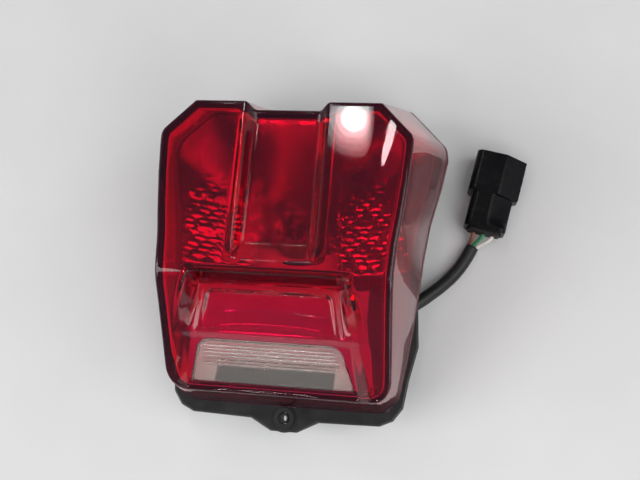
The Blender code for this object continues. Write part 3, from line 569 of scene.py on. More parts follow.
class Dresser:
    """Keeps one material for each finish and puts it on pieces and CAD nodes."""

    def __init__(self) -> None:
        """Start with no materials made."""
        self.made: dict[str, bpy.types.Material] = {}

    def material(self, finish: Finish) -> bpy.types.Material:
        """Material of a finish, made once."""
        if finish.name not in self.made:
            self.made[finish.name] = finish.material()
        return self.made[finish.name]

    def piece(self, obj: Piece, finish: Finish, slot: str, *nodes: str) -> None:
        """Dress a new piece, ride it on the lamp and let it stand for CAD nodes.

        Args:
            obj: the new piece.
            finish: its finish.
            slot: material slot name; not used.
            nodes: CAD nodes that it replaces.
        """
        obj.data.materials.clear()
        obj.data.materials.append(self.material(finish))
        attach(obj, Body.LAMP.value)
        if nodes:
            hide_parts(*nodes)
        LOG.info("%s made for %s", obj.name, ", ".join(nodes))

    def node(self, finish: Finish, *names: str) -> None:
        """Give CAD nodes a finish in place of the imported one."""
        for name in names:
            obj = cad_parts[name]
            if not obj.data.materials:
                obj.data.materials.append(None)
            obj.material_slots[0].link = "OBJECT"
            obj.material_slots[0].material = self.material(finish)
            LOG.info("%s dressed", name)


# Lens, window, reflector


@dataclass
class Lens:
    """Red lens: tapered walls, raised sides, sunk centre panel, and a lower pocket with visor and window."""
    wall: float = 2.5
    front_z: float = 69.6
    front_top: float = 48.4
    front_low: float = -55.2
    shoulder: float = 36.2
    rim_z: float = 18.0
    land: float = 4.6
    land_z: float = 20.2
    edge: float = 1.25
    panel_floor: float = 12.0
    panel_top: float = 15.0
    panel_notch: float = 2.6
    corner: float = 6.0
    window_gap: float = 0.3
    window_top: float = -36.8
    window_low: float = -51.8
    lean: float = 2.5
    bend: float = 32.0
    bend_slope: float = 0.03
    grow: float = 1.2
    columns: tuple[int, ...] = (16, 10, 26, 5, 14, 16)
    frame_up: float = 0.55
    well_down: float = 1.2
    lip_up: Pair = (0.28, 0.62)
    bead_up: float = 0.32
    recess: float = 0.4
    rib_pitch: float = 1.16
    rib_deep: float = 0.65
    # Height and Y bounds of the painted shade on the pocket's back wall.
    shade_z: float = 60.0
    shade_y: Pair = (-14.9, -18.2)

    def __post_init__(self) -> None:
        """Fill the outlines of the right half, from top centre to bottom centre, and the long profiles."""
        self.rim = np.array([(0, 68.4), (44, 68.4), (59.4, 52.2), (60.2, 46.5), (57.9, 34), (54, 18), (52, 4),
                             (50.8, -9), (49.2, -24), (47.2, -38), (44.8, -53), (39.4, -58.6), (0, -58.6)], float)
        top, low = self.front_top, self.front_low
        self.front = np.array([(0, top), (34.4, top), (46.2, self.shoulder), (46, 31), (45.2, 20), (43.8, 7),
                               (42.5, -3), (41.8, -13), (41.8, -26), (42, -38), (42.2, -50.2), (38.4, low),
                               (0, low)], float)
        turns = {2: 1.6, 10: 3.0, 11: 3.0}
        self.rim, self.front = rounded_run(self.rim, turns), rounded_run(self.front, turns)
        self.profile = np.array([(-76.0, 21.8), (-16.0, 69.2), (90.0, 69.75)])
        self.panel_run = np.array([(-30.0, 0.0), (-10.8, 0.0), (-4.6, 4.0), (42.0, 4.0), (46.4, 2.0), (60.0, 2.0)])
        self.floor_run = np.array([(-62.0, 27.6), (-36.7, 50.1), (-35.0, 53.0), (-33.4, 53.9), (-27.0, 55.9),
                                   (-17.5, 58.2), (-15.5, 69.8), (-10.0, 101.7)])
        self.pocket_half = np.array([(-62.0, 34.4, 38.2), (-38.4, 29.2, 34.8), (-27.0, 27.0, 31.8),
                                     (-19.2, 26.0, 28.8), (-15.6, 26.4, 27.4), (60.0, 26.4, 27.4)])
        self.window_run = np.array([(self.window_low, 31.2), (self.window_top, 28.0), (60.0, 28.0)])
        self.stops = [top, 46.0, 42.4, self.shoulder, 20.0, -3.6, -11.8, -15.0, -17.4, -21.0, -26.0, -28.0, -31.0,
                      self.window_top + 0.5, self.window_top, self.window_low, low]
        self.counts = [7, 8, 7, 12, 18, 20, 10, 16, 20, 12, 8, 8, 24, 3, 12, 12]

    def pocket(self, y: Points, d: float) -> tuple[Points, Points]:
        """Half widths of the pocket at its floor and at its mouth, at depth d under the outside."""
        at, floor, mouth = self.pocket_half.T
        return np.interp(y, at, floor) + d, np.interp(y, at, mouth) + d

    def window_half(self, y: Points) -> Points:
        """Half width of the window opening at stations along Y."""
        return np.interp(y, self.window_run[:, 0], self.window_run[:, 1])

    def window_height(self, y: Points) -> Points:
        """Height of the plane the window lies in: the lowest straight of the pocket floor."""
        (y0, z0), (y1, z1) = self.floor_run[:2]
        return z0 + (z1 - z0) * (y - y0) / (y1 - y0)

    def corner_drop(self, x: Points, half: Points) -> Points:
        """Fall of the window's top edge towards its rounded corners: a quarter circle of radius corner."""
        past = np.clip(np.abs(x) - (half - self.corner), 0.0, self.corner)
        return self.corner - np.sqrt(self.corner ** 2 - past ** 2)

    def half_loops(self, d: float) -> tuple[Points, Points]:
        """Front and rim outlines of the right half moved inward by d."""
        out = []
        for half in (self.front, self.rim):
            out.append(inset(both_sides(half), d)[:len(half)])
        return out[0], out[1]

    def height(self, x: Points, y: Points, d: float) -> Points:
        """Height of the front skin at depth d under the outside.

        The long profile, less the centre panel's sunk run times its side ramp, less the pocket's depth times
        its side ramp; outside, the visor's relief is added on the pocket floor.

        Args:
            x: stations across.
            y: stations along.
            d: depth under the outer skin, 0 or the wall.

        Returns:
            Heights in millimetres.
        """
        ax, px = np.abs(x), np.abs(x + self.lean)
        z = soft_line(y, self.profile, 4.5) - d - self.bend_slope * knee(ax - self.bend, 2.4)
        low, top = self.panel_floor + self.grow * d, self.panel_top + self.grow * d
        sunk = soft_line(y, self.panel_run, 0.9)
        z = z - sunk * ramp((top - ax) / (top - low), 0.22)
        run = self.floor_run.copy()
        run[:, 1] -= d
        run[-3:, 0] += d
        floor = soft_line(y, run, 0.5)
        if d == 0.0:
            floor = floor + self.visor(px, y)
        half, wide = self.pocket(y, d)
        deep = knee(z - floor, 0.5)
        return z - deep * ramp((wide - px) / (wide - half), 0.16)

    def visor(self, ax: Points, y: Points) -> Points:
        """Relief of the visor: a raised frame with rounded corners, a sunk middle, a lip below it and a bead.

        Args:
            ax: distance from the pocket's middle.
            y: stations along.

        Returns:
            Heights to add to the floor.
        """
        half = 24.4 + (-18.0 - y) * 0.17
        inside = soft_min(half - ax, -17.8 - y, 2.6)
        fade = ramp((y + 36.4) / 3.4, 0.3)
        frame_up = self.frame_up * ramp(inside / 0.6, 0.2)
        well = 0.6 * ramp((inside - 2.0) / 0.8, 0.2) + 0.4 * ramp((inside - 2.0) / 7.0, 0.1)
        arch = y + 0.002 * ax ** 2
        sharp, slow = self.lip_up
        lip = sharp * ramp((-26.4 - arch) / 0.5, 0.25) + slow * ramp((-27.0 - y) / 5.2, 0.06)
        bead = self.bead_up * np.exp(-((arch + 32.9) / 0.5) ** 2) * ramp((24.6 - ax) / 1.5)
        return fade * (frame_up - self.well_down * well + well * lip + bead) - self.recess * fade

    def stations(self, d: float) -> tuple[Points, Points]:
        """Grid of (x, y) places of the front skin; columns follow panel, window, pocket and outer edges.

        Args:
            d: depth under the outer skin.

        Returns:
            X and Y arrays of (rows, columns).
        """
        front = self.half_loops(d + self.edge)[0]
        y = steps(self.stops, self.counts)
        top, low = front[0, 1], front[-1, 1]
        bend, end = self.shoulder, self.window_low
        y = np.where(y > bend, bend + (y - bend) * (top - bend) / (self.front_top - bend), y)
        y = np.where(y < end, end + (y - end) * (low - end) / (self.front_low - end), y)
        edge = np.interp(y, front[1:-1, 1][::-1], front[1:-1, 0][::-1])
        half, wide = self.pocket(y, d)
        window = np.minimum(self.window_half(y), half - 0.4)
        zero = np.zeros_like(y)
        sides = []
        for lean in (self.lean, -self.lean):
            far = np.minimum(wide + lean, edge - 0.8)
            mid = np.minimum(half + lean, far - 0.8)
            marks = [zero, zero + self.panel_floor + self.grow * d, zero + self.panel_top + self.grow * d,
                     np.minimum(window + lean, mid - 0.4), mid, far, edge]
            parts = [a[:, None] + (b - a)[:, None] * np.linspace(0.0, 1.0, n, endpoint=False)
                     for a, b, n in zip(marks[:-1], marks[1:], self.columns)]
            sides.append(np.concatenate(parts + [edge[:, None]], axis=1))
        x = np.concatenate([-sides[0][:, :0:-1], sides[1]], axis=1)
        px = x + self.lean
        notch = ramp((self.panel_top + d - np.abs(x)) / 3.0, 0.25)
        yy = y[:, None] - self.panel_notch * notch * ramp((y[:, None] - 39.0) / 9.0, 0.2)
        drop = self.corner_drop(px, window[:, None])
        top = self.window_top
        fall = np.interp(yy, [self.window_low, top, top + 0.5, top + 2.6], [0.0, 1.0, 1.0, 0.0])
        fade = ramp((half[:, None] + 3.0 - np.abs(px)) / 3.0, 0.2)
        return x, yy - drop * fall * fade

    def skin(self, d: float) -> tuple[Points, Points, list[Points]]:
        """Points of one skin: the front grid, then rings from its edge down to the rim.

        Each ring point lies on the line from a front corner to its rim corner; the front edge is a quadratic
        curve from the front skin to that line.

        Args:
            d: depth under the outer skin, 0 or the wall.

        Returns:
            Front grid points (rows, columns, 3), ring points (rings, n, 3) and the border of the grid.
        """
        x, y = self.stations(d)
        z = self.height(x, y, d)
        grid = np.stack([x, y, z], axis=-1)
        rows, cols = x.shape
        index = np.arange(rows * cols).reshape(rows, cols)
        border = border_of(index)
        start = grid.reshape(-1, 3)[border]
        small = self.half_loops(d + self.edge)[0]
        number = np.arange(len(small), dtype=float)
        flat_top = np.abs(x[0]) / small[1, 0]
        flat_low = number[-1] - np.abs(x[-1]) / small[-2, 0]
        side = np.interp(-y[:, -1], -small[1:-1, 1], number[1:-1])
        mark = np.concatenate([flat_top[:-1], side[:-1], flat_low[:0:-1], side[:0:-1]])
        hand = np.sign(start[:, 0])
        front, rim = self.half_loops(d)

        def on(loop: Points) -> Points:
            """Place at each border point's mark on a half outline, on its own side."""
            px = np.interp(mark, number, loop[:, 0]) * hand
            return np.stack([px, np.interp(mark, number, loop[:, 1])], axis=1)

        corner = on(front)
        corner[:, 1] += (start[:, 1] - on(small)[:, 1]) * (start[:, 1] > 30.0)
        sharp = np.c_[corner, start[:, 2] - 0.02]
        foot_z = self.rim_z if d == 0.0 else self.land_z
        foot = np.c_[on(rim), np.full(len(mark), self.rim_z)]
        share = (foot_z - self.rim_z) / (sharp[:, 2:] - self.rim_z)
        foot = foot + (sharp - foot) * share
        run = foot - sharp
        below = sharp + run / np.linalg.norm(run, axis=1)[:, None] * self.edge
        t = np.linspace(0.0, 1.0, 7)[1:, None, None]
        fillet = bow(t, start, sharp, below)
        s = np.linspace(0.0, 1.0, 13)[1:, None, None]
        rings = [fillet, below + (foot - below) * s]
        if d > 0.0:
            ledge = on(self.half_loops(self.land)[1])
            rings.append(np.stack([np.c_[ledge, np.full(len(mark), z0)] for z0 in (self.land_z, self.rim_z)]))
        return grid, np.concatenate(rings), border

    def build(self) -> Piece:
        """Join outer and inner skins at the rim and round the window opening into one closed shell."""
        y = steps(self.stops, self.counts)
        top, low = int(np.argmin(np.abs(y - self.window_top))), int(np.argmin(np.abs(y - self.window_low)))
        parts, faces, holes, feet, base = [], [], [], [], 0
        for d in (0.0, self.wall):
            grid, rings, border = self.skin(d)
            rows, cols, _ = grid.shape
            index = np.arange(rows * cols).reshape(rows, cols) + base
            span = sum(self.columns[:3])
            left, right = cols // 2 - span, cols // 2 + span
            keep = np.ones((rows - 1, cols - 1), bool)
            keep[top:low, left:right] = False
            front = quads(index)[keep.ravel()]
            loop = np.arange(rings.shape[0] * rings.shape[1]).reshape(rings.shape[:2]) + base + rows * cols
            band = quads(np.concatenate([(border + base)[None], loop]), True)
            hole = border_of(index[top:low + 1, left:right + 1])
            turn = slice(None, None, -1) if d == 0.0 else slice(None)
            faces += [front[:, turn], band[:, ::-1][:, turn]]
            parts += [grid.reshape(-1, 3), rings.reshape(-1, 3)]
            holes.append(hole)
            feet.append(loop[-1])
            base += rows * cols + loop.size
        faces.append(quads(np.stack(holes), True))
        faces.append(quads(np.stack(feet), True)[:, ::-1])
        points = np.concatenate(parts)
        obj = put_mesh("lens", points, np.concatenate(faces))
        inner = np.arange(len(points)) >= len(parts[0]) + len(parts[1])
        x, y = np.abs(points[:, 0]), points[:, 1]
        frost = inner * ramp((self.panel_top - x) / 2.0) * ramp((y + 12.0) / 3.0) * ramp((44.0 - y) / 3.0)
        mark_points(obj, "frost", frost)
        # Painted sheen: outer side walls from the end of the edge fillet to the rim, fading out at the bottom end.
        wall = np.arange(len(points)) - len(parts[0])
        painted_sheen = ramp((wall / len(feet[0]) - 4.0) / 3.0) * (wall < len(parts[1])) * ramp((y + 54.0) / 6.0)
        mark_points(obj, "painted_sheen", painted_sheen)
        # Painted shade: the outer skin of the pocket's steep back wall is marked near black, for the dark band
        # seen there.
        wide = self.pocket_half[-1, 1] - np.abs(points[:, 0] + self.lean)
        near, far = self.shade_y
        painted_shade = ramp((points[:, 2] - self.shade_z) / 2.0) * ramp((near - y) / 0.6) * ramp((y - far) / 0.4)
        mark_points(obj, "painted_shade", painted_shade * ramp(wide / 1.5) * ~inner)
        even_shade(obj)
        return obj

    def build_window(self) -> Piece:
        """Clear plate window: a slab that fills the opening less a gap, with fine ribs over its upper part."""
        rows, cols = 96, 80
        u = np.linspace(-1.0, 1.0, cols)
        v = np.linspace(0.0, 1.0, rows)[:, None]
        y_top, y_low = self.window_top - self.window_gap, self.window_low + self.window_gap
        half = self.window_half(y_top + (y_low - y_top) * v) - self.window_gap
        x = u * half - self.lean
        y = y_top - self.corner_drop(x + self.lean, half)
        y = y + (y_low - y) * v
        z = self.window_height(y)
        comb = 0.5 - 0.5 * np.cos(2.0 * math.pi * (y - y_top) / self.rib_pitch)
        patch = ramp((y + 46.0) / 0.5, 0.4) * ramp((25.6 + 0.2 * (-38 - y) - np.abs(x + self.lean)) / 0.8, 0.4)
        patch = patch * ramp((-38.0 - y) / 0.5, 0.4)
        front = np.stack([x, y, z - self.rib_deep * patch * comb], axis=-1)
        back = np.stack([x, y, z - self.wall], axis=-1)
        return put_slab("window", front, back)


@dataclass
class Reflector:
    """Silvered dish behind the lens: a plain bowl round the bulb and pillow facets under the raised sides."""
    centre: Pair = (0.0, 10.0)
    hole: float = 10.6
    low: float = 19.6
    top: float = 33.0
    thick: float = 1.2
    clearance: float = 1.4
    pitch: Pair = (5.8, 2.4)
    tier: float = 14.0
    end: float = -50.6
    grid: tuple[int, int] = (480, 92)
    tiny: float = 1e-6
    facet: float = 0.55
    fall: float = 0.4

    def build(self, lens: Lens) -> Piece:
        """Polar grid from the bulb hole to the lens wall, raised by a power of the radius share.

        The reach of each ray is where it crosses the wall's outline, from the cross products of ray and sides.
        Facets are squared sines of the distance across and along, shifted and uneven from row to row, on tiers
        that fall by a sawtooth along Y; both fade in under the raised sides.

        Args:
            lens: the lens whose wall bounds the dish.

        Returns:
            The dish.
        """
        around, out = self.grid
        a = np.linspace(0.0, 2.0 * math.pi, around, endpoint=False)
        t = (self.top - lens.rim_z) / (lens.front_z - lens.rim_z)
        half = lens.rim + (lens.front - lens.rim) * t
        wall = inset(both_sides(half), lens.wall + self.clearance)
        wall[:, 1] = np.maximum(wall[:, 1], self.end)
        rel = wall - np.array(self.centre)
        run = np.roll(rel, -1, axis=0) - rel
        ray = np.stack([np.cos(a), np.sin(a)])[:, :, None]
        det = ray[1] * run[:, 0] - ray[0] * run[:, 1]
        reach = (rel[:, 1] * run[:, 0] - rel[:, 0] * run[:, 1]) / det
        share = (ray[0] * rel[:, 1] - ray[1] * rel[:, 0]) / det
        good = (reach > 0) & (share > -self.tiny) & (share < 1 + self.tiny)
        edge = np.where(good, reach, np.inf).min(axis=1)
        s = np.linspace(0.0, 1.0, out)[:, None]
        r = self.hole + (edge - self.hole) * s
        x = self.centre[0] + r * np.cos(a)
        y = self.centre[1] + r * np.sin(a)
        lag = np.arange(-30, 31)
        weight = np.exp(-(lag / 8.0) ** 2)
        even = np.sum(edge[(np.arange(around)[:, None] + lag) % around] * weight, axis=1) / weight.sum()
        z = self.low + (self.top - self.low) * np.clip((r - self.hole) / (even - self.hole), 0.0, 1.0) ** 1.6
        row = np.floor(y / self.pitch[1])
        across = (np.abs(x) + 1.9 * np.sin(2.4 * row)) / self.pitch[0]
        pillow = (np.sin(math.pi * across) * np.sin(math.pi * y / self.pitch[1])) ** 2
        zone = ramp((np.abs(x) - 15.0) / 2.0, 0.3) * ramp((y + 16.0) / 3.0, 0.3) * ramp((1.0 - s) / 0.08, 0.3)
        zone = zone * ramp((36.0 - y) / 18.0, 0.2)
        drop = np.mod((y + 4.0) / self.tier, 1.0)
        uneven = 0.64 + 0.36 * np.sin(1.3 * row + 2.1 * np.floor(across))
        tier = self.fall * np.minimum(drop, 8.0 * (1.0 - drop))
        z = z - zone * (self.facet * uneven * (1.0 - pillow) + tier)
        front = np.stack([x, y, z], axis=-1)
        return put_slab("reflector_dish", front, front - (0.0, 0.0, self.thick), True)


@dataclass
class Spring:
    """Coil under the contact plate."""
    centre: Pair = (0.0, 10.0)
    radius: float = 5.2
    wire: float = 0.4
    curls: int = 3
    travel: float = 2.0

    def build(self) -> Piece:
        """Helix between the ends of the CAD spring, as one tube."""
        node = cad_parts["contact_spring"]
        box = np.array([node.matrix_world @ Vector(c) for c in node.bound_box]) / MM
        self.low, self.high = box[:, 2].min(), box[:, 2].max()
        t = np.linspace(0.0, 1.0, 40 * self.curls + 1)
        a = 2.0 * math.pi * self.curls * t
        z = self.low + self.wire + (self.high - self.low - 2.0 * self.wire) * t
        x, y = self.centre[0] + self.radius * np.cos(a), self.centre[1] + self.radius * np.sin(a)
        return put_tube("spring", np.stack([x, y, z], axis=1), self.wire, 14)

    def shorten(self, obj: Piece) -> None:
        """Give the coil its own copy of its mesh."""
        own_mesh(obj)


# Lead and plug


@dataclass
class Lead:
    """Black sleeve from the base, three short wires out of it, and the hooded plug."""
    radius: float = 2.75
    wire: float = 0.8
    spread: float = 1.75
    gap: float = 0.3
    plug_at: Triple = (79.6, 36.0, 6.4)
    plug_turn: float = -12.0
    hood: Triple = (21.4, 12.4, 17.3)
    body: Triple = (17.4, 11.0, 16.5)
    wall: float = 1.5
    deep: float = 13.5
    pitch: float = 5.2
    key: Pair = (8.6, 5.0)
    bore: Triple = (2.25, 2.25, 0.2)
    pull: float = 2.2
    hub: Triple = (0.0, 10.0, 5.6)

    def __post_init__(self) -> None:
        """Route of the sleeve, repeated from the part's source."""
        self.route = np.array([(38.6, -13.5, 7.2), (42.2, -13.5, 7.2), (47.8, -13.5, 7.2), (51.6, -11.2, 6.8),
                               (55.6, -7.8, 5.7), (59.6, -4.2, 4.5), (63.4, -0.2, 3.6), (66.8, 4.2, 3.1),
                               (69.6, 8.9, 3.0), (71.9, 13.6, 3.0)])

    def sleeve(self) -> tuple[Piece, Points]:
        """Tube along the route whose far end turns inward, so that its cut end reads as hollow.

        Returns:
            The sleeve and its centre line in millimetres.
        """
        count, sides = 60, 28
        path = smooth_path(self.route, count)
        way = path[-1] - path[-2]
        way /= np.linalg.norm(way)
        ripple = 0.035 * np.sin(np.arange(count) * 1.7) * np.linspace(0, 1, count)
        pts, faces, caps = sweep(path, self.radius + ripple, sides)
        bore = path[-1] - way * np.array([[0.0], [2.5], [2.6]])
        inner, more, inner_caps = sweep(bore, np.array(self.bore), sides)
        base = len(pts)
        ends = np.stack([np.arange(base - sides, base), base + (-np.arange(sides)) % sides])
        everything = np.concatenate([faces, more + base, quads(ends, True)[:, ::-1]])
        obj = put_mesh("sleeve", np.concatenate([pts, inner]), everything, (caps[0], inner_caps[1] + base))
        return obj, path

    def plug_place(self, local: Points) -> Points:
        """Turn plug points about the upright and move them to the plug's place."""
        a = math.radians(self.plug_turn)
        spin = np.array([(math.cos(a), -math.sin(a), 0.0), (math.sin(a), math.cos(a), 0.0), (0.0, 0.0, 1.0)])
        return local @ spin.T + np.array(self.plug_at)

    def keyed(self, w: float, h: float, r: float, share: float, sunk: float) -> Points:
        """Four quarter circles joined to a rectangle, whose upper right corner is cut away by a slope.

        Args:
            w: width.
            h: height.
            r: corner radius.
            share: share of the full slope, 0 for none.
            sunk: how far the slope is moved inward.

        Returns:
            (n, 2) points, spaced evenly round the outline.
        """
        a = np.linspace(0.0, 0.5 * math.pi, 12) + 0.5 * math.pi * np.arange(4)[:, None]
        mid_x = np.array([1, -1, -1, 1])[:, None] * (0.5 * w - r)
        mid_z = np.array([1, 1, -1, -1])[:, None] * (0.5 * h - r)
        box = np.stack([(mid_x + r * np.cos(a)).ravel(), (mid_z + r * np.sin(a)).ravel()], axis=1)
        loop = np.concatenate([box, box[:1]])
        run = np.concatenate([[0.0], np.cumsum(np.linalg.norm(np.diff(loop, axis=0), axis=1))])
        at = np.linspace(0.0, run[-1], 140, endpoint=False)
        x, z = np.interp(at, run, loop[:, 0]), np.interp(at, run, loop[:, 1])
        across, down = self.key
        top = 0.5 * h - down / across * (x - 0.5 * w + across) - sunk
        return np.stack([x, z + share * (soft_min(z, top, 0.25) - z)], axis=1)

    def plug(self) -> Piece:
        """Hooded plug: rounded sections carried along its length, over the lip and back into the mouth."""
        bw, bh, bl = self.body
        hw, hh, hl = self.hood
        w = self.wall
        mw, mh = hw - 2 * w, hh - 2 * w
        rows = [(13.2, 6.4, 1.2, -bl + 2.7), (13.9, 7.1, 1.6, -bl + 2.7), (14.0, 7.2, 1.7, -bl + 0.3),
                (14.4, 7.6, 1.9, -bl), (bw - 1.6, bh - 1.6, 2.2, -bl), (bw - 0.6, bh - 0.6, 2.5, -bl + 0.25),
                (bw, bh, 2.7, -bl + 0.9), (bw, bh, 2.7, -bl + 3.5), (bw, bh, 2.7, -bl + 6.5), (bw, bh, 2.7, -1.4),
                (bw + 0.15, bh + 0.1, 2.7, -1.1), (hw - 0.7, hh - 0.5, 2.6, -0.75),
                (hw - 0.2, hh - 0.15, 2.8, -0.55), (hw, hh, 2.8, -0.1), (hw, hh, 2.8, 8.0),
                (hw, hh, 2.8, hl - 0.5), (hw - 0.25, hh - 0.25, 2.7, hl - 0.12), (hw - 0.7, hh - 0.7, 2.5, hl)]
        lip = len(rows)
        rows += [(mw + 0.5, mh + 0.5, 1.6, hl), (mw + 0.1, mh + 0.1, 1.4, hl - 0.2), (mw, mh, 1.3, hl - 0.8),
                 (mw, mh, 1.3, hl - self.deep + 0.4), (mw - 0.8, mh - 0.8, 0.9, hl - self.deep)]
        rings = []
        for k, (a, b, r, y) in enumerate(rows):
            share = float(np.clip((y + bl - 3.5) / 3.0, 0.0, 1.0))
            ring = self.keyed(a, b, r, share, 1.2 * w * (k >= lip))
            rings.append(np.insert(ring, 1, y, axis=1))
        pts = self.plug_place(np.concatenate(rings))
        index = np.arange(len(pts)).reshape(len(rows), -1)
        obj = put_mesh("plug", pts, quads(index, True), (index[0], index[-1][::-1]))
        even_shade(obj)
        return obj

    def strand(self, name: str, ends: tuple[Points, Points], pulls: tuple[Points, Points], sides: int) -> Piece:
        """One wire along a cubic curve.

        Args:
            name: piece name.
            ends: first and last points.
            pulls: steps from each end to the point that the curve aims at there.
            sides: points round the wire.

        Returns:
            The wire.
        """
        t = np.linspace(0.0, 1.0, 24)[:, None]
        a, d = ends
        b, c = a + pulls[0], d + pulls[1]
        line = (1 - t) ** 3 * a + 3 * (1 - t) ** 2 * t * b + 3 * (1 - t) * t ** 2 * c + t ** 3 * d
        return put_tube(name, line, self.wire, sides)

    def wires(self) -> list[Piece]:
        """Three wires from the sleeve's end to the plug's back, leaving and meeting both squarely."""
        end = self.route[-1]
        way = end - self.route[-2]
        way /= np.linalg.norm(way)
        cross = np.array((way[1], -way[0], 0.0))
        cross /= np.linalg.norm(cross)
        back = self.plug_place(np.array([[0.0, -1.0, 0.0]]))[0] - np.array(self.plug_at)
        made = []
        for s, label in enumerate(WIRES, -1):
            first = end + way * self.gap + cross * self.spread * s
            last = np.array([[self.pitch * 0.75 * s, -self.body[2] - 1.0 - self.gap, 0.0]])
            ends = first, self.plug_place(last)[0]
            made.append(self.strand("short_wire_" + label, ends, (way * self.pull, back * self.pull), 16))
        return made

    def inner_leads(self) -> list[Piece]:
        """Three wires inside the base, from the sleeve's inner end to the bulb holder."""
        hub = np.array(self.hub)
        aim = math.atan2(self.route[1][1] - hub[1], self.route[1][0] - hub[0])
        out = np.array((math.cos(aim), math.sin(aim), 0.0))
        side = np.array((-math.sin(aim), math.cos(aim), 0.0))
        made = []
        for s, label in enumerate(WIRES, -1):
            first = self.route[0] + np.array((-self.gap, self.spread * s, 0.0))
            ends = first, hub + out * 8.2 + side * 2.2 * s
            made.append(self.strand("lead_" + label, ends, (np.array((-7.0, 0.0, 0.0)), out * 7.0), 14))
        return made


# Studio


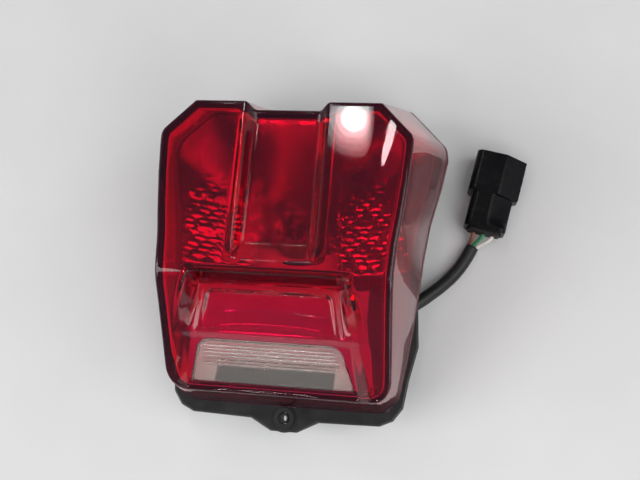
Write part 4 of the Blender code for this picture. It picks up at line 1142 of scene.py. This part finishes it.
@dataclass
class Studio:
    """Pale floor, soft lamps, a pale sky and the camera at the photograph's angle."""
    eye: Triple = (0.0513, -0.0606, 0.2991)
    turn: Triple = (14.595, 7.504, 4.637)
    lens: float = 39.375
    floor_size: float = 6.0
    floor_tints: tuple[Triple, Triple] = ((0.69, 0.69, 0.695), (0.73, 0.73, 0.735))
    glints: tuple[Pair, ...] = ((0.07, 0.16), (0.10, 0.16), (0.13, 0.16), (0.16, 0.16), (0.19, 0.2))

    def camera(self) -> None:
        """Place the camera by its fitted place and angles."""
        data = bpy.data.cameras.new("camera")
        data.lens = self.lens
        data.sensor_width = 36.0
        data.clip_start = 0.01
        cam = bpy.data.objects.new("camera", data)
        cam.location = self.eye
        cam.rotation_euler = Euler([math.radians(a) for a in self.turn], "XYZ")
        bpy.context.scene.collection.objects.link(cam)
        bpy.context.scene.camera = cam

    def floor(self) -> None:
        """Pale floor with faint mottling, just under the lamp's back."""
        h = 500.0 * self.floor_size
        pts = np.array([(-h, -h, -0.05), (h, -h, -0.05), (h, h, -0.05), (-h, h, -0.05)])
        obj = put_mesh("floor", pts, np.array([[0, 1, 2, 3]]), smooth=False)
        n = Nodes("floor_pale")
        n.feed("Base Color", n.mix(n.spread(n.noise(14.0, 3.0), 0.0, 1.0), *self.floor_tints))
        n.feed("Roughness", n.spread(n.noise(60.0, 4.0), 0.45, 0.62))
        obj.data.materials.append(n.mat)

    def lamp(self, name: str, at: tuple, aim: tuple, size: tuple, power: float, spin: float = 0.0) -> None:
        """One lamp that faces a point: an ellipse if it is spun, else a rectangle.

        Args:
            name: lamp name.
            at: place in metres.
            aim: point it faces.
            size: width and height in metres.
            power: watts.
            spin: turn about its own axis, in degrees.
        """
        data = bpy.data.lights.new(name, "AREA")
        data.shape = "ELLIPSE" if spin else "RECTANGLE"
        data.size, data.size_y = size
        data.energy = power
        obj = bpy.data.objects.new(name, data)
        obj.location = at
        face = (Vector(aim) - Vector(at)).to_track_quat("-Z", "Y")
        obj.rotation_euler = (face @ Quaternion((0.0, 0.0, 1.0), math.radians(spin))).to_euler()
        bpy.context.scene.collection.objects.link(obj)

    def sky(self) -> None:
        """Pale sky, dim overhead and along Y, brighter towards the horizon at both sides."""
        world = bpy.data.worlds.new("sky")
        world.use_nodes = True
        graph = Graph(world.node_tree, "Generated")
        back = graph.tree.nodes["Background"]
        graph.put(back, "Color", (0.96, 0.97, 1.0, 1.0))
        fall = graph.spread(graph.axis(2), 0.7, 0.1, 0.3, 0.85)
        along = graph.add("ShaderNodeMath", {0: graph.axis(1)}, operation="ABSOLUTE").outputs[0]
        graph.put(back, "Strength", graph.times(fall, graph.spread(along, 1.0, 0.2, 0.1, 0.7)))
        bpy.context.scene.world = world

    def build(self) -> None:
        """Camera, floor, lamps and sky."""
        self.camera()
        self.floor()
        self.lamp("key", (-1.8, -0.8, 1.6), (0.0, 0.0, 0.0), (1.8, 1.6), 36.0)
        self.lamp("fill", (1.15, -0.35, 1.8), (0.0, 0.0, 0.0), (2.0, 1.8), 23.0)
        self.lamp("front", (1.0, -1.3, 1.3), (0.0, -0.05, 0.0), (0.9, 0.9), 7.0)
        self.lamp("line", (-0.34, -0.98, 1.30), (0.0, -0.02, 0.05), (0.28, 0.06), 1.6)
        self.lamp("rear", (-0.32, 0.98, 1.38), (0.0, 0.02, 0.05), (0.4, 0.06), 1.2)
        self.lamp("card", (0.8, -1.25, 0.45), (0.0, -0.02, 0.04), (0.8, 0.5), 1.9)
        for k, (wide, power) in enumerate(self.glints):
            at = (-0.146, 0.695, 1.57 + 0.002 * k)
            self.lamp("glint_%d" % k, at, (0.0, 0.03, 0.0), (wide, 1.06 * wide), power, 24.0)
        self.lamp("strip", (0.04, 0.641, 1.57), (0.0, 0.03, 0.0), (0.022, 0.15), 0.14, -8.0)
        self.sky()
        bpy.context.scene.view_settings.view_transform = "Standard"


def main() -> None:
    """Build studio, lead, lens, window and reflector, and dress the CAD nodes that stay."""
    logging.basicConfig(level=logging.INFO, format="%(name)s: %(message)s")
    Studio().build()
    dress = Dresser()

    lead = Lead()
    sleeve, path = lead.sleeve()
    dress.piece(sleeve, SLEEVE_BLACK, "sleeve_black", "cable_sleeve")
    plug = lead.plug()
    dress.piece(plug, PLUG_BLACK, "plug_black", "plug_housing")
    wires = lead.wires()
    for wire, (label, finish) in zip(wires, WIRES.items()):
        dress.piece(wire, finish, "wire_" + label, "wire_" + label)
    for wire, (label, finish) in zip(lead.inner_leads(), WIRES.items()):
        dress.piece(wire, finish, "wire_" + label, "inner_lead_" + label)

    lens = Lens()
    dress.piece(lens.build(), LENS_RED, "lens_red", "lens_shell")
    dress.piece(lens.build_window(), WINDOW_CLEAR, "window_clear", "plate_window")
    dress.piece(Reflector().build(lens), REFLECTOR_SILVER, "reflector_silver", "reflector")

    coil = Spring()
    spring = coil.build()
    dress.piece(spring, STEEL_ZINC, "steel_zinc", "contact_spring")
    coil.shorten(spring)

    dress.node(BASE_BLACK, "base_housing")
    dress.node(RUBBER_BLACK, "lens_gasket", "lug_bush", "cable_gland", "plug_seal")
    dress.node(STEEL_ZINC, "socket_shell", "lens_screw_top_right", "lens_screw_top_left",
               "lens_screw_low_right", "lens_screw_low_left", "reflector_screw_right", "reflector_screw_left")
    dress.node(STEEL_BLACK, "lug_collar")
    dress.node(FIBRE_BROWN, "socket_insulator", "contact_plate")
    dress.node(BRASS, "contact_pad_a", "contact_pad_b", "bulb_cap", "mount_insert_right", "mount_insert_left",
               "plug_blade_a", "plug_blade_b", "plug_blade_c")
    dress.node(SOLDER, "bulb_contact_a", "bulb_contact_b")
    dress.node(BULB_GLASS, "bulb_disc", "bulb_glass", "bulb_stem")
    dress.node(TUNGSTEN, "filament_stop", "filament_tail")


if __name__ == "__main__":
    main()
